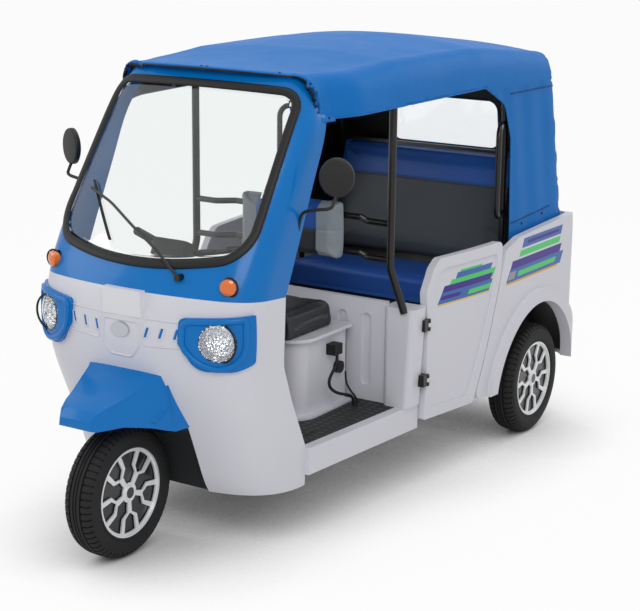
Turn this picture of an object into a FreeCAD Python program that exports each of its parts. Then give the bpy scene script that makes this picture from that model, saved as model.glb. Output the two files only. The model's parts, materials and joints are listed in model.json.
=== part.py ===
# Electric auto rickshaw with open sides, a blue canopy and half-height rear doors.
# Lengths are in millimetres. The vehicle faces -Y, its left side is +X and it stands on Z = 0.
# Places along the vehicle are measured from the middle of the wheelbase. Each piece's placement
# then moves it along Y, so that the middle of the overall length is at Y = 0.
import FreeCAD, Part
import math
import os
import re
from FreeCAD import Vector, Placement, Rotation

doc = FreeCAD.newDocument("AutoRickshaw")

# Driving dimensions
SIZES = {
    "wheelbase": 2073, "overrun": 5, "clearance": 6, "fit_gap": 0.5,
    # Wheels
    "tyre_radius": 236.5, "tyre_width": 120, "rim_radius": 160, "rim_wall": 6, "dish_wall": 8,
    "trim_face": 48, "trim_wall": 10, "trim_ring": 7, "trim_hub_radius": 36, "spoke_width": 12,
    "barrel_half": 55, "cap_proud": 4, "rear_track": 1098, "hub_radius": 45, "hub_half": 35,
    "axle_radius": 10,
    # Front shell
    "shell_wall": 25, "shell_back_y": -150, "roof_line_z": 1662, "blue_low_z": 948,
    "blue_side_low_z": 925, "cowl_low_z": 200, "shell_ref_x": 460, "shell_ref_y": 1000,
    "shell_ref_z": 1000, "cowl_back_y": -545, "cowl_back_z": 345, "cowl_waist_y": -641,
    "cowl_waist_z": 545, "cowl_chest_y": -693, "cowl_chest_z": 680, "cowl_top_y": -685,
    "blue_rise": 17, "pillar_bend": 200, "cowl_round": 120, "pillar_top_y": -414,
    "pillar_top_z": 1497, "pillar_end_y": -345, "screen_low_z": 1097, "screen_top_z": 1595,
    "screen_low_half": 430, "screen_top_half": 332, "screen_corner": 75, "screen_dip": 48,
    "screen_bow": 1500, "seal_width": 38, "seal_proud": 6, "seal_depth": 18, "glass_thick": 6,
    "glass_set": 4,
    # Lamps, plate and badge on the front shell
    "lamp_x": 370, "lamp_z": 806, "lamp_radius": 66, "lamp_depth": 70, "lamp_dome": 16,
    "lamp_face_y": -955, "lamp_turn_deg": 24, "lens_thick": 4, "bezel_proud": 14, "bezel_in_x": 236,
    "bezel_low_z": 705, "bezel_high_z": 892, "bezel_slope": 10, "bezel_round": 70, "bezel_turn": 18,
    "bezel_back_y": -862, "turn_x": 387, "turn_z": 993, "turn_radius": 28, "turn_face_y": -918,
    "turn_depth": 46, "turn_lip": 5, "number_plate_width": 165, "number_plate_height": 92,
    "number_plate_z": 908, "badge_half_width": 38, "badge_half_height": 26, "badge_z": 814,
    "badge_proud": 6,
    # Front wheel arch and fender
    "wheel_swing_radius": 258, "fork_swing_radius": 122, "liner_wall": 5, "liner_half": 212,
    "fender_wall": 9, "fender_tip_y": -1262, "fender_tip_z": 546, "fender_tip_half": 72,
    "fender_rim_half": 84, "fender_rim_y": -1250, "fender_rim_z": 520, "fender_crown_z": 668,
    "fender_crown_half": 142, "fender_crown_y": -985, "fender_side_half": 232, "fender_side_z": 462,
    "fender_back_y": -860,
    # Steering
    "rake_deg": 25.5, "column_radius": 17, "column_length": 860, "crown_reach": 252,
    "crown_height": 24, "crown_round": 12, "fork_half": 86, "fork_leg_radius": 17,
    "head_tube_radius": 26, "head_low_reach": 330, "head_top_reach": 520, "head_strut_reach": 450,
    "head_strut_radius": 14, "bar_half": 285, "bar_radius": 11, "bar_knee": 60, "bar_sweep": 45,
    "bar_rise": 12, "bar_round": 60, "grip_radius": 16, "grip_length": 118, "pod_width": 150,
    "pod_depth": 70, "pod_height": 60, "pod_round": 22, "stem_radius": 30, "stem_height": 26,
    # Floor, sills and chassis
    "floor_top_z": 340, "floor_wall": 12, "floor_half": 428, "floor_back_half": 512, "toe_y": -705,
    "toe_top_z": 900, "sill_low_z": 240, "sill_front_half": 473, "sill_back_half": 526,
    "sill_wall": 40, "sill_back_y": 150, "rail_x": 250, "rail_width": 40, "rail_height": 40,
    "rail_low_z": 288, "rail_front_y": -740, "kick_y": 915, "kick_end_y": 975, "kick_rise": 90,
    "cross_height": 36, "mat_half": 380, "mat_wall": 4, "mat_edge": 12, "mat_corner": 30,
    # Driver's seat
    "box_half": 262, "box_front_y": -296, "box_back_y": 40, "box_wall": 8, "box_round": 70,
    "box_foot": 36, "box_top_z": 640, "box_plate_wall": 12, "box_plate_lip": 30,
    "driver_cushion_half": 248, "driver_cushion_front_y": -345, "driver_cushion_back_y": -20,
    "driver_cushion_height": 95, "seat_gap": 0.3, "driver_back_half": 236, "driver_back_wall": 66,
    "driver_back_low_z": 890, "driver_back_top_z": 1125, "cushion_round": 22,
    # Partition and pillar boxes
    "partition_y": 75, "partition_wall": 26, "partition_half": 418, "partition_top_z": 745,
    "rib_half": 22, "rib_pitch": 110, "rib_depth": 9, "rib_low_z": 400, "rib_top_z": 690,
    "pillar_front_y": 52, "pillar_back_y": 150, "pillar_half": 556, "pillar_foot_half": 536,
    "pillar_round": 26,
    # Tube frame
    "tube_radius": 15, "post_x": 456, "post_y": 35, "post_bend_z": 893, "post_foot_x": 512,
    "post_foot_y": 52, "post_foot_z": 735, "bow_z": 1600, "bow_bend": 90, "back_rail_top_z": 1062,
    "back_rail_low_z": 922, "back_rail_drop": 50, "back_rail_start": 100, "back_rail_run": 60,
    "side_rail_x": 415, "side_rail_mid_x": 456, "side_rail_back_x": 486, "side_rail_z": 1545,
    "side_rail_front_y": -430, "side_rail_back_y": 1180, "cross_tube_radius": 12,
    "rear_post_x": 498, "rear_post_y": 880, "rear_post_foot_z": 555, "grab_x": 536, "grab_y": 752,
    "grab_low_z": 980, "grab_top_z": 1352, "grab_radius": 12,
    # Rear body
    "side_wall": 30, "side_low_z": 271, "side_belly_z": 520, "side_shoulder_z": 790,
    "side_top_z": 940, "side_start_half": 541, "side_front_half": 557, "side_door_half": 603,
    "side_quarter_half": 616, "side_rear_half": 626, "side_low_in": 8, "side_shoulder_in": 6,
    "side_top_in": 34, "door_front_y": 160, "door_slant_z": 782, "door_slant_y": 215,
    "door_slant_high_z": 866, "door_top_y": 262, "door_top_z": 900, "door_back_low_y": 480,
    "door_back_mid_y": 600, "door_back_mid_z": 620, "door_back_high_y": 662,
    "door_back_high_z": 770, "door_back_top_y": 700, "door_back_top_z": 880, "door_gap": 8,
    "door_round": 40, "door_border": 42, "door_recess": 6, "quarter_notch_y": 712,
    "quarter_notch_z": 858, "quarter_rise_y": 850, "quarter_rise_z": 892, "quarter_top_z": 915,
    "rear_face_y": 1405, "rear_corner": 110, "arch_y": 985, "arch_z": 245, "arch_radius": 346,
    "flare_radius": 404, "flare_proud": 20, "housing_in_half": 452, "housing_wall": 5,
    "housing_low_z": 300, "bumper_end_y": 1487, "bumper_half": 552, "bumper_low_z": 275,
    "bumper_height": 60, "bumper_wall": 30, "tail_lamp_x": 455, "tail_lamp_z": 640,
    "tail_lamp_width": 86, "tail_lamp_height": 190, "tail_lamp_depth": 18, "tailgate_half": 400,
    "tailgate_low_z": 378,
    # Door hinges
    "hinge_x": 564, "hinge_y": 155, "hinge_radius": 7, "hinge_height": 46, "hinge_upper_z": 661,
    "hinge_lower_z": 440, "hinge_leaf": 34, "hinge_leaf_wall": 4,
    # Passenger seat
    "bench_front_y": 650, "bench_half": 438, "bench_base_z": 592, "bench_height": 106,
    "bench_back_y": 985, "backrest_low_y": 992, "backrest_top_y": 1112, "backrest_top_z": 1180,
    "backrest_wall": 84, "bench_panel_wall": 20, "bench_panel_half": 446,
    # Canopy
    "canopy_wall": 12, "canopy_front_y": -515, "canopy_front_bow": 150, "canopy_rear_lean": 40,
    "flap_round": 60, "canopy_back_y": 1420, "canopy_low_z": 870, "canopy_side_low_z": 1503,
    "canopy_side_back_z": 1520, "flap_front_y": 640, "flap_curve_y": 800, "flap_curve_z": 1440,
    "flap_fall_y": 850, "flap_fall_z": 1300, "flap_foot_y": 838, "canopy_rear_foot_y": 1345,
    "canopy_rear_mid_y": 1272, "canopy_rear_mid_z": 1275, "canopy_rear_top_y": 1232,
    "canopy_rear_top_z": 1520, "canopy_top_round": 120, "window_half": 272, "window_low_z": 1172,
    "window_top_z": 1386, "window_corner": 45, "window_wall": 2, "canopy_ref_half": 540,
    "canopy_ref_z": 1700, "canopy_side_z": 1500,
    # Drive and suspension
    "axle_tube_radius": 26, "motor_radius": 88, "motor_half": 95, "arm_x": 330, "arm_front_y": 560,
    "arm_radius": 16, "damper_radius": 26, "battery_half": 200, "battery_front_y": 690,
    "battery_back_y": 905, "battery_height": 200,
    # Mirrors and wiper
    "mirror_x": 588, "mirror_y": -566, "mirror_z": 1336, "mirror_radius": 64, "mirror_wall": 22,
    "mirror_arm_radius": 6, "mirror_foot_y": -600, "mirror_foot_z": 1153, "mirror_bend_x": 522,
    "mirror_bend_y": -572, "mirror_bend_z": 1228, "wiper_x": 208, "wiper_z": 1010,
    "wiper_tip_z": 1240, "wiper_rod": 5, "wiper_off": 18,
    # Dashboard and controls
    "dash_top_z": 958, "dash_low_z": 820, "dash_back_y": -745, "dash_half": 425, "dash_wall": 26,
    # Charging connector and cables
    "plug_x": 300, "plug_y": -80, "plug_z": 575, "plug_long": 52, "plug_deep": 42, "cap_radius": 24,
    "cap_z": 490, "cap_y": -30,
}

# Outlines that follow named sizes, as shares of them
# Front shell: height, half width, nose, bow of the nose, run of the corner
FRONT_SHARES = [
    (0.18, 0.989, -0.80, 0.087, 0.37), (0.33, 0.996, -0.88, 0.098, 0.37), (0.50, 1.0, -0.95, 0.109, 0.348),
    (0.68, 1.004, -1.004, 0.109, 0.304), (0.814, 1.006, -1.01, 0.109, 0.272), (0.96, 1.006, -0.978, 0.109, 0.261),
    (1.10, 1.004, -0.912, 0.12, 0.25), (1.35, 0.996, -0.728, 0.098, 0.228), (1.50, 0.97, -0.618, 0.087, 0.207),
    (1.60, 0.87, -0.545, 0.065, 0.163), (1.70, 0.80, -0.472, 0.055, 0.14),
]
# Canopy: station, then half widths low, at the side, at the shoulder and at the crown's edge,
# then heights of the shoulder, the crown's edge and the crown
CANOPY_SHARES = [
    (-0.60, 0.905, 0.885, 0.84, 0.63, 0.990, 0.981, 0.988), (0.0, 0.965, 0.935, 0.92, 0.74, 1.0, 0.993, 1.008),
    (0.63, 1.02, 0.975, 0.965, 0.80, 0.999, 0.994, 1.02), (1.10, 1.04, 1.0, 0.985, 0.82, 0.968, 0.962, 0.985),
    (1.45, 1.04, 1.0, 0.985, 0.82, 0.93, 0.924, 0.945),
]
# Rear side panels: station and half width
SIDE_STATION_SHARES = [0.04, 0.165, 0.46, 0.60, 0.98, 1.45]

# The sheet that holds the sizes
sheet = doc.addObject("Spreadsheet::Sheet", "Sizes")
for row, (name, value) in enumerate(SIZES.items(), 1):
    sheet.set("A%d" % row, name)
    sheet.set("B%d" % row, str(value))
    sheet.setAlias("B%d" % row, name)
doc.recompute()


class SheetValues:
    """Sizes read from the sheet by name."""

    def __init__(self):
        for alias in SIZES:
            setattr(self, alias, float(sheet.get(alias)))


size = SheetValues()
half_base = size.wheelbase / 2
front_axle = Vector(0, -half_base, size.tyre_radius)
rake = math.radians(size.rake_deg)
steer_axis = Vector(0, math.sin(rake), math.cos(rake))
nodes = []


# Bound primitives
def bind(thing, prop, text):
    """Tie one property to cells of the sheet."""
    thing.setExpression(prop, re.sub(r"[a-z][a-z0-9_]+", lambda word: "Sizes." + word.group(), text))


def place(thing, x, y, z):
    for axis, text in zip("xyz", (x, y, z)):
        bind(thing, "Placement.Base." + axis, text)


def box(label, x, y, z):
    """A block between pairs of expressions along X, Y and Z."""
    thing = doc.addObject("Part::Box", label)
    for prop, span in zip(("Length", "Width", "Height"), (x, y, z)):
        bind(thing, prop, "(%s) - (%s)" % (span[1], span[0]))
    place(thing, x[0], y[0], z[0])
    return thing


TURNS = {"X": Rotation(Vector(0, 1, 0), 90), "Y": Rotation(Vector(1, 0, 0), -90), "Z": Rotation()}


def rod(label, axis, radius, span, centre):
    """A cylinder along an axis between two expressions, on a centre given by the other two axes."""
    thing = doc.addObject("Part::Cylinder", label)
    bind(thing, "Radius", radius)
    bind(thing, "Height", "(%s) - (%s)" % (span[1], span[0]))
    thing.Placement = Placement(Vector(), TURNS[axis])
    low = list(centre)
    low.insert("XYZ".index(axis), span[0])
    place(thing, *low)
    return thing


def solid(label, shape):
    """A shape that no bound primitive gives."""
    thing = doc.addObject("Part::Feature", label)
    thing.Shape = shape
    return thing


def fuse(label, *things):
    result = doc.addObject("Part::MultiFuse", label)
    result.Shapes = list(things)
    return result


def cut(label, base, *tools):
    result = doc.addObject("Part::Cut", label)
    result.Base = base
    result.Tool = tools[0] if len(tools) == 1 else fuse(label + "_tools", *tools)
    return result


def mirrored(label, thing):
    result = doc.addObject("Part::Mirroring", label)
    result.Source = thing
    result.Normal = Vector(1, 0, 0)
    return result


def both_sides(label, thing):
    return [thing, mirrored(label + "_mirrored", thing)]


def node(label, *things):
    """One sub-part: its solids, its label and its placement."""
    result = doc.addObject("Part::Compound", label)
    result.Label = label
    result.Links = list(things)
    bind(result, "Placement.Base.y", "(wheelbase / 2 + tyre_radius - bumper_end_y) / 2")
    nodes.append(result)
    return result


# Shapes made with curves
def arc_edge(first, middle, last):
    return Part.Arc(first, middle, last).toShape()


def line_edge(first, last):
    return Part.LineSegment(first, last).toShape()


def bezier_edge(*poles):
    curve = Part.BezierCurve()
    curve.setPoles(list(poles))
    return curve.toShape()


def rounded_wire(points, rounds, closed=True):
    """Straight runs through the points, each corner turned by an arc of its own radius."""
    count = len(points)
    starts, ends, arcs = [], [], []
    for index, (point, radius) in enumerate(zip(points, rounds)):
        before = points[index - 1] - point
        after = points[(index + 1) % count] - point
        before.normalize()
        after.normalize()
        if radius <= 0 or (not closed and index in (0, count - 1)):
            starts.append(point)
            ends.append(point)
            arcs.append(None)
            continue
        half = before.getAngle(after) / 2
        reach = radius / math.tan(half)
        middle = before + after
        middle.normalize()
        centre = point + middle * (radius / math.sin(half))
        starts.append(point + before * reach)
        ends.append(point + after * reach)
        arcs.append(centre - middle * radius)
    edges = []
    for index in range(count):
        if arcs[index] is not None:
            edges.append(arc_edge(starts[index], arcs[index], ends[index]))
        if closed or index < count - 1:
            edges.append(line_edge(ends[index], starts[(index + 1) % count]))
    return Part.Wire(edges)


def prism(wire, reach):
    return Part.Face(wire).extrude(reach)


def side_prism(places, rounds, low, high):
    """An outline of (Y, Z) places, swept along X."""
    wire = rounded_wire([Vector(low, y, z) for y, z in places], rounds)
    return prism(wire, Vector(high - low, 0, 0))


def front_prism(places, rounds, low, high):
    """An outline of (X, Z) places, swept along Y."""
    wire = rounded_wire([Vector(x, low, z) for x, z in places], rounds)
    return prism(wire, Vector(0, high - low, 0))


def plan_prism(places, rounds, low, high):
    """An outline of (X, Y) places, swept along Z."""
    wire = rounded_wire([Vector(x, y, low) for x, y in places], rounds)
    return prism(wire, Vector(0, 0, high - low))


def tube(points, rounds, radius):
    """A round bar along straight runs joined by arcs."""
    path = rounded_wire(points, rounds, closed=False)
    start = (points[1] - points[0]).normalize()
    ring = Part.Wire([Part.Circle(points[0], start, radius).toShape()])
    return path.makePipeShell([ring], True, False)


def turned(profile, base, axis):
    """A solid of revolution from (radius, height) corners along an axis."""
    points = [Vector(radius, 0, height) for radius, height in profile]
    face = Part.Face(Part.makePolygon(points + points[:1]))
    shape = face.revolve(Vector(), Vector(0, 0, 1), 360)
    shape.Placement = Placement(base, Rotation(Vector(0, 0, 1), axis))
    return shape


def flip(shape):
    return shape.mirror(Vector(), Vector(1, 0, 0))


def both(shape):
    return Part.makeCompound([shape, flip(shape)])


def largest(shape):
    return max(shape.Solids, key=lambda one: one.Volume)


def along(reach):
    """A place on the steering axis, at a distance from the wheel's middle."""
    return front_axle + steer_axis * reach


# Front shell surface, shifted inwards by an inset
def front_section(shares, inset):
    height, wide, nose, bow, corner = shares
    level = height * size.shell_ref_z
    edge = wide * size.shell_ref_x - inset
    tip = nose * size.shell_ref_y + inset
    rise = bow * size.shell_ref_x
    turn = corner * size.shell_ref_x - inset
    flat = edge - turn
    slope = math.tan(2 * math.atan(rise / flat))
    first = Vector(flat, tip + rise, level)
    knee = Vector(edge, tip + rise + turn * slope, level)
    last = Vector(edge, tip + rise + turn * slope + turn, level)
    back = Vector(edge, size.shell_back_y, level)
    other = [Vector(-point.x, point.y, level) for point in (first, knee, last, back)]
    return Part.Wire([
        line_edge(other[3], other[2]), bezier_edge(other[2], other[1], other[0]),
        arc_edge(other[0], Vector(0, tip, level), first), bezier_edge(first, knee, last),
        line_edge(last, back), line_edge(back, other[3])])


def front_volume(inset):
    return Part.makeLoft([front_section(shares, inset) for shares in FRONT_SHARES], True, False)


def front_wall(outer, inner):
    return front_volume(outer).cut(front_volume(inner))


def nose_at(level):
    """The nose of the front shell at a height, on the middle plane."""
    for low, high in zip(FRONT_SHARES, FRONT_SHARES[1:]):
        if low[0] * size.shell_ref_z <= level <= high[0] * size.shell_ref_z:
            part = (level / size.shell_ref_z - low[0]) / (high[0] - low[0])
            return (low[2] + (high[2] - low[2]) * part) * size.shell_ref_y


def screen_outline(inset):
    """The windscreen opening seen from the front."""
    low, high = size.screen_low_z + inset, size.screen_top_z - inset
    wide, narrow = size.screen_low_half - inset, size.screen_top_half - inset
    dip = low - size.screen_dip
    turn = size.screen_corner - inset
    places = [(-wide, low), (0, dip), (wide, low), (narrow, high), (-narrow, high)]
    return front_prism(places, [turn, size.screen_bow, turn, turn, turn], -size.shell_ref_y * 1.2, size.pillar_end_y)


lamp_turn = math.radians(size.lamp_turn_deg)
lamp_axis = Vector(math.sin(lamp_turn), -math.cos(lamp_turn), 0)
lamp_centre = Vector(size.lamp_x, size.lamp_face_y, size.lamp_z)
turn_centre = Vector(size.turn_x, size.turn_face_y, size.turn_z)
front_reach = -size.shell_ref_y * 1.2


def lamp_hole(centre, radius, depth):
    base = centre - lamp_axis * depth
    return both(Part.makeCylinder(radius, depth * 3, base, lamp_axis))


# Canopy volume, shifted inwards by an inset
def canopy_section(shares, inset):
    station, low, side, shoulder, crown, shoulder_z, edge_z, crown_z = shares
    y = station * half_base
    half = size.canopy_ref_half
    top = size.canopy_ref_z
    foot = Vector(low * half - inset, y, size.canopy_low_z - size.overrun)
    wall = Vector(side * half - inset, y, size.canopy_side_z)
    knee = Vector(shoulder * half - inset, y, shoulder_z * top - inset)
    edge = Vector(crown * half - inset, y, edge_z * top - inset)
    peak = Vector(0, y, crown_z * top - inset)
    other = [Vector(-point.x, y, point.z) for point in (foot, wall, knee, edge)]
    return Part.Wire([
        line_edge(other[0], other[1]), bezier_edge(other[1], other[2], other[3]),
        arc_edge(other[3], peak, edge), bezier_edge(edge, knee, wall), line_edge(wall, foot),
        line_edge(foot, other[0])])


def canopy_volume(inset):
    loft = Part.makeLoft([canopy_section(shares, inset) for shares in CANOPY_SHARES], True, False)
    wide = size.canopy_ref_half * 1.2
    bow = size.canopy_front_bow
    low, high = size.canopy_low_z - size.overrun * 2, size.canopy_ref_z * 1.1
    front = size.canopy_front_y
    edges = [arc_edge(Vector(-wide, front + bow, low), Vector(0, front, low), Vector(wide, front + bow, low))]
    back = size.canopy_back_y
    corners = [Vector(wide, front + bow, low), Vector(wide, back, low), Vector(-wide, back, low),
               Vector(-wide, front + bow, low)]
    edges += [line_edge(first, last) for first, last in zip(corners, corners[1:])]
    plan = prism(Part.Wire(edges), Vector(0, 0, high - low))
    rear = [(front, low), (size.canopy_rear_foot_y - inset, low), (size.canopy_rear_mid_y - inset, size.canopy_rear_mid_z),
            (size.canopy_rear_top_y - inset, size.canopy_rear_top_z), (size.canopy_rear_top_y - inset - size.canopy_rear_lean, high),
            (front, high)]
    side = side_prism(rear, [0, 0, size.canopy_top_round, size.canopy_top_round, 0, 0], -wide, wide)
    return loft.common(plan).common(side)


def canopy_wall():
    outer = canopy_volume(0)
    inner = canopy_volume(size.canopy_wall)
    shell = outer.cut(inner)
    wide = size.canopy_ref_half * 1.2
    low = size.canopy_low_z - size.overrun * 3
    side_cut = side_prism(
        [(size.canopy_front_y - size.overrun, size.canopy_side_low_z), (size.flap_front_y, size.canopy_side_back_z),
         (size.flap_curve_y, size.flap_curve_z), (size.flap_fall_y, size.flap_fall_z), (size.flap_foot_y, low),
         (size.canopy_front_y - size.overrun, low)],
        [0, size.flap_round, size.flap_round, size.flap_round, 0, 0], -wide, wide)
    shell = shell.cut(side_cut)
    window = front_prism(
        [(-size.window_half, size.window_low_z), (size.window_half, size.window_low_z),
         (size.window_half, size.window_top_z), (-size.window_half, size.window_top_z)],
        [size.window_corner] * 4, size.flap_fall_y, size.canopy_back_y)
    return shell, window


canopy_shell, window_hole = canopy_wall()

# Front shell: blue upper part with the windscreen pillars, white lower part
front_shell = front_wall(0, size.shell_wall)
front_core = front_volume(0)
wide_reach = size.shell_ref_x * 1.5
upper_zone = side_prism(
    [(front_reach, size.blue_low_z + size.blue_rise), (size.cowl_top_y, size.blue_side_low_z),
     (size.pillar_top_y, size.pillar_top_z), (size.pillar_end_y, size.roof_line_z), (front_reach, size.roof_line_z)],
    [0, 0, size.pillar_bend, 0, 0], -wide_reach, wide_reach)
lower_zone = side_prism(
    [(front_reach, size.blue_low_z + size.blue_rise), (size.cowl_top_y, size.blue_side_low_z),
     (size.cowl_chest_y, size.cowl_chest_z), (size.cowl_waist_y, size.cowl_waist_z),
     (size.cowl_back_y, size.cowl_back_z), (size.cowl_back_y, size.cowl_low_z), (front_reach, size.cowl_low_z)],
    [0, 0, size.cowl_round, size.cowl_round, size.cowl_round / 4, 0, 0], -wide_reach, wide_reach)
screen_hole = screen_outline(0)
glass_zone = screen_outline(size.seal_width)
turn_holes = lamp_hole(turn_centre, size.turn_radius + size.fit_gap, size.turn_depth)
head_holes = lamp_hole(lamp_centre, size.lamp_radius + size.fit_gap, size.lamp_depth)
arch_hole = Part.makeCylinder(size.wheel_swing_radius + size.liner_wall + size.fit_gap,
                              (size.liner_half + size.fit_gap) * 2,
                              front_axle - Vector(size.liner_half + size.fit_gap, 0, 0), Vector(1, 0, 0))
crown_room = Part.makeCylinder(size.fork_swing_radius, size.crown_reach + size.crown_height + size.clearance,
                               front_axle, steer_axis)
column_clear = Part.makeCylinder(size.column_radius + size.clearance, size.column_length, front_axle, steer_axis)

node("cowl_upper", solid("cowl_upper_shape", front_shell.common(upper_zone).cut(
    screen_hole).cut(turn_holes).cut(canopy_shell)))
node("cowl_lower", solid("cowl_lower_shape", front_shell.common(lower_zone).cut(
    Part.makeCompound([head_holes, arch_hole, crown_room, column_clear]))))
node("windscreen_seal", solid("windscreen_seal_shape", front_wall(-size.seal_proud, size.seal_depth).common(
    screen_hole.cut(glass_zone))))
node("windscreen_glass", solid("windscreen_glass_shape", front_wall(
    size.glass_set, size.glass_set + size.glass_thick).common(glass_zone)))

# Headlamp bezels, lamps and turn lamps
bezel_zone = front_prism(
    [(size.bezel_in_x, size.bezel_high_z - size.bezel_slope), (size.shell_ref_x * 1.1, size.bezel_high_z + size.bezel_slope),
     (size.shell_ref_x * 1.1, size.lamp_z - size.bezel_slope), (size.lamp_x + size.bezel_round, size.bezel_low_z),
     (size.lamp_x - size.bezel_round, size.bezel_low_z), (size.bezel_in_x, size.lamp_z - size.bezel_slope)],
    [size.bezel_turn, 0, size.bezel_turn, size.bezel_round, size.bezel_round, size.bezel_turn],
    front_reach, size.bezel_back_y)
bezel = front_wall(-size.bezel_proud, 0).common(bezel_zone).cut(head_holes)
node("headlamp_bezels", solid("headlamp_bezels_shape", both(bezel)))


def lamp_bowl(radius, depth, wall, centre):
    profile = [(0, -depth), (radius * 0.45, -depth), (radius * 0.85, -depth * 0.62), (radius, -depth * 0.12),
               (radius, 0), (radius - wall, 0), (radius - wall, -depth * 0.12),
               (radius * 0.85 - wall, -depth * 0.62 + wall / 2), (radius * 0.45 - wall / 2, wall - depth), (0, wall - depth)]
    return turned(profile, centre, lamp_axis)


def lamp_lens(radius, dome, wall, centre):
    """A domed glass cap on the rim of a lamp."""
    ball = (radius * radius + dome * dome) / (2 * dome)
    centre_back = Vector(0, 0, dome - ball)
    cap = Part.makeSphere(ball, centre_back).cut(Part.makeSphere(ball - wall, centre_back))
    cap = cap.common(Part.makeCylinder(radius, dome * 2))
    cap.Placement = Placement(centre, Rotation(Vector(0, 0, 1), lamp_axis))
    return cap


head_bowl = lamp_bowl(size.lamp_radius, size.lamp_depth, size.lens_thick, lamp_centre)
head_lens = lamp_lens(size.lamp_radius, size.lamp_dome, size.lens_thick, lamp_centre)
turn_lamp = turned([(0, -size.turn_depth / 2), (size.turn_radius, -size.turn_depth / 2), (size.turn_radius, 0),
                    (size.turn_radius * 0.7, size.turn_lip), (0, size.turn_lip * 1.6)], turn_centre, lamp_axis)
node("headlamp_bowls", solid("headlamp_bowls_shape", both(head_bowl)))
node("headlamp_lenses", solid("headlamp_lenses_shape", both(head_lens)))
node("front_turn_lamps", solid("front_turn_lamps_shape", both(turn_lamp)))

# Plate holder and badge, both blank
plate_block = box("number_plate_block", ("-number_plate_width / 2", "number_plate_width / 2"),
                  ("-shell_ref_y - clearance", "-shell_ref_y + bezel_proud * 3"),
                  ("number_plate_z - number_plate_height / 2", "number_plate_z + number_plate_height / 2"))
core_tool = solid("front_core_tool", front_core)
node("number_plate", cut("number_plate_seated", plate_block, core_tool))
badge_disc = Part.Ellipse(Vector(), size.badge_half_width, size.badge_half_height).toShape()
badge_solid = prism(Part.Wire([badge_disc]), Vector(0, 0, size.shell_wall))
badge_front = nose_at(size.badge_z) - size.badge_proud
badge_solid.Placement = Placement(Vector(0, badge_front, size.badge_z), Rotation(Vector(1, 0, 0), -90))
node("front_badge", solid("front_badge_shape", badge_solid.cut(front_core)))


# Front fender, fixed to the cowl over its own wheel arch
def fender_volume(inset, drop):
    tip = Vector(size.fender_tip_half - inset, size.fender_tip_y + inset, size.fender_tip_z - inset)
    rim = Vector(size.fender_rim_half - inset, size.fender_rim_y + inset, size.fender_rim_z - drop)
    crown = Vector(size.fender_crown_half - inset, size.fender_crown_y + inset, size.fender_crown_z - inset)
    side = Vector(size.fender_side_half - inset, size.fender_back_y + inset, size.fender_side_z - drop)
    left = [tip, rim, crown, side]
    right = [Vector(-point.x, point.y, point.z) for point in left]
    corners = [(left[0], right[0], right[2], left[2]), (left[0], left[1], right[1], right[0]),
               (left[2], right[2], right[3], left[3]), (left[1], left[3], right[3], right[1])]
    for side_points in (left, right):
        corners.append((side_points[0], side_points[2], side_points[3]))
        corners.append((side_points[0], side_points[3], side_points[1]))
    faces = [Part.Face(Part.makePolygon(list(points) + [points[0]])) for points in corners]
    shape = Part.Solid(Part.makeShell(faces))
    if shape.Volume < 0:
        shape.reverse()
    return shape


fender = fender_volume(0, 0).cut(fender_volume(size.fender_wall, size.fender_wall)).cut(front_core)
node("front_fender", solid("front_fender_shape", fender))

# Liner of the front wheel arch, open below, with the hole that the fork turns in
liner_base = front_axle - Vector(size.liner_half, 0, 0)
liner = Part.makeCylinder(size.wheel_swing_radius + size.liner_wall, size.liner_half * 2, liner_base, Vector(1, 0, 0))
liner = liner.cut(Part.makeCylinder(size.wheel_swing_radius, size.liner_half * 2, liner_base, Vector(1, 0, 0)))
liner_zone = side_prism([(-size.shell_ref_y * 1.2, size.cowl_low_z), (size.toe_y, size.cowl_low_z), (size.toe_y, size.lamp_z),
                         (-size.shell_ref_y * 1.2, size.lamp_z)], [0] * 4, -wide_reach, wide_reach)
fork_room = Part.makeCylinder(size.fork_swing_radius, size.column_length, front_axle, steer_axis)
liner = liner.common(liner_zone).common(front_core).cut(fork_room)
node("front_arch_liner", solid("front_arch_liner_shape", liner))

# Dashboard and toe board, cut to the inside of the front shell
inner_core = front_volume(size.shell_wall)
dash_zone = Part.makeBox(size.dash_half * 2, -size.shell_back_y + size.shell_ref_y, size.dash_top_z - size.dash_low_z,
                         Vector(-size.dash_half, size.dash_back_y + size.shell_back_y - size.shell_ref_y, size.dash_low_z))
dash_inner = Part.makeBox((size.dash_half - size.dash_wall) * 2, size.shell_ref_y, size.dash_top_z - size.dash_low_z,
                          Vector(size.dash_wall - size.dash_half, size.dash_back_y - size.dash_wall - size.shell_ref_y,
                                 size.dash_low_z - size.dash_wall))
column_room = Part.makeCylinder(size.column_radius + size.clearance * 3, size.column_length, front_axle, steer_axis)
dash = inner_core.common(dash_zone).cut(dash_inner).cut(column_room).cut(head_holes)
node("dashboard", solid("dashboard_shape", dash))
toe_zone = Part.makeBox(size.shell_ref_x * 2, size.liner_wall, size.toe_top_z - size.floor_top_z,
                        Vector(-size.shell_ref_x, size.toe_y, size.floor_top_z))
toe_board = inner_core.common(toe_zone).cut(column_room)

# Steering column with its one-sided fork, and the handlebar
def crown_shape():
    """The lug that joins the column to the single leg on the right of the wheel."""
    lug = plan_prism([(-size.fork_half - size.fork_leg_radius, -size.fork_leg_radius),
                      (size.stem_radius, -size.stem_radius), (size.stem_radius, size.stem_radius),
                      (-size.fork_half - size.fork_leg_radius, size.fork_leg_radius)],
                     [size.crown_round] * 4, 0, size.crown_height)
    lug.Placement = Placement(along(size.crown_reach), Rotation(Vector(0, 0, 1), steer_axis))
    return lug


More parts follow.
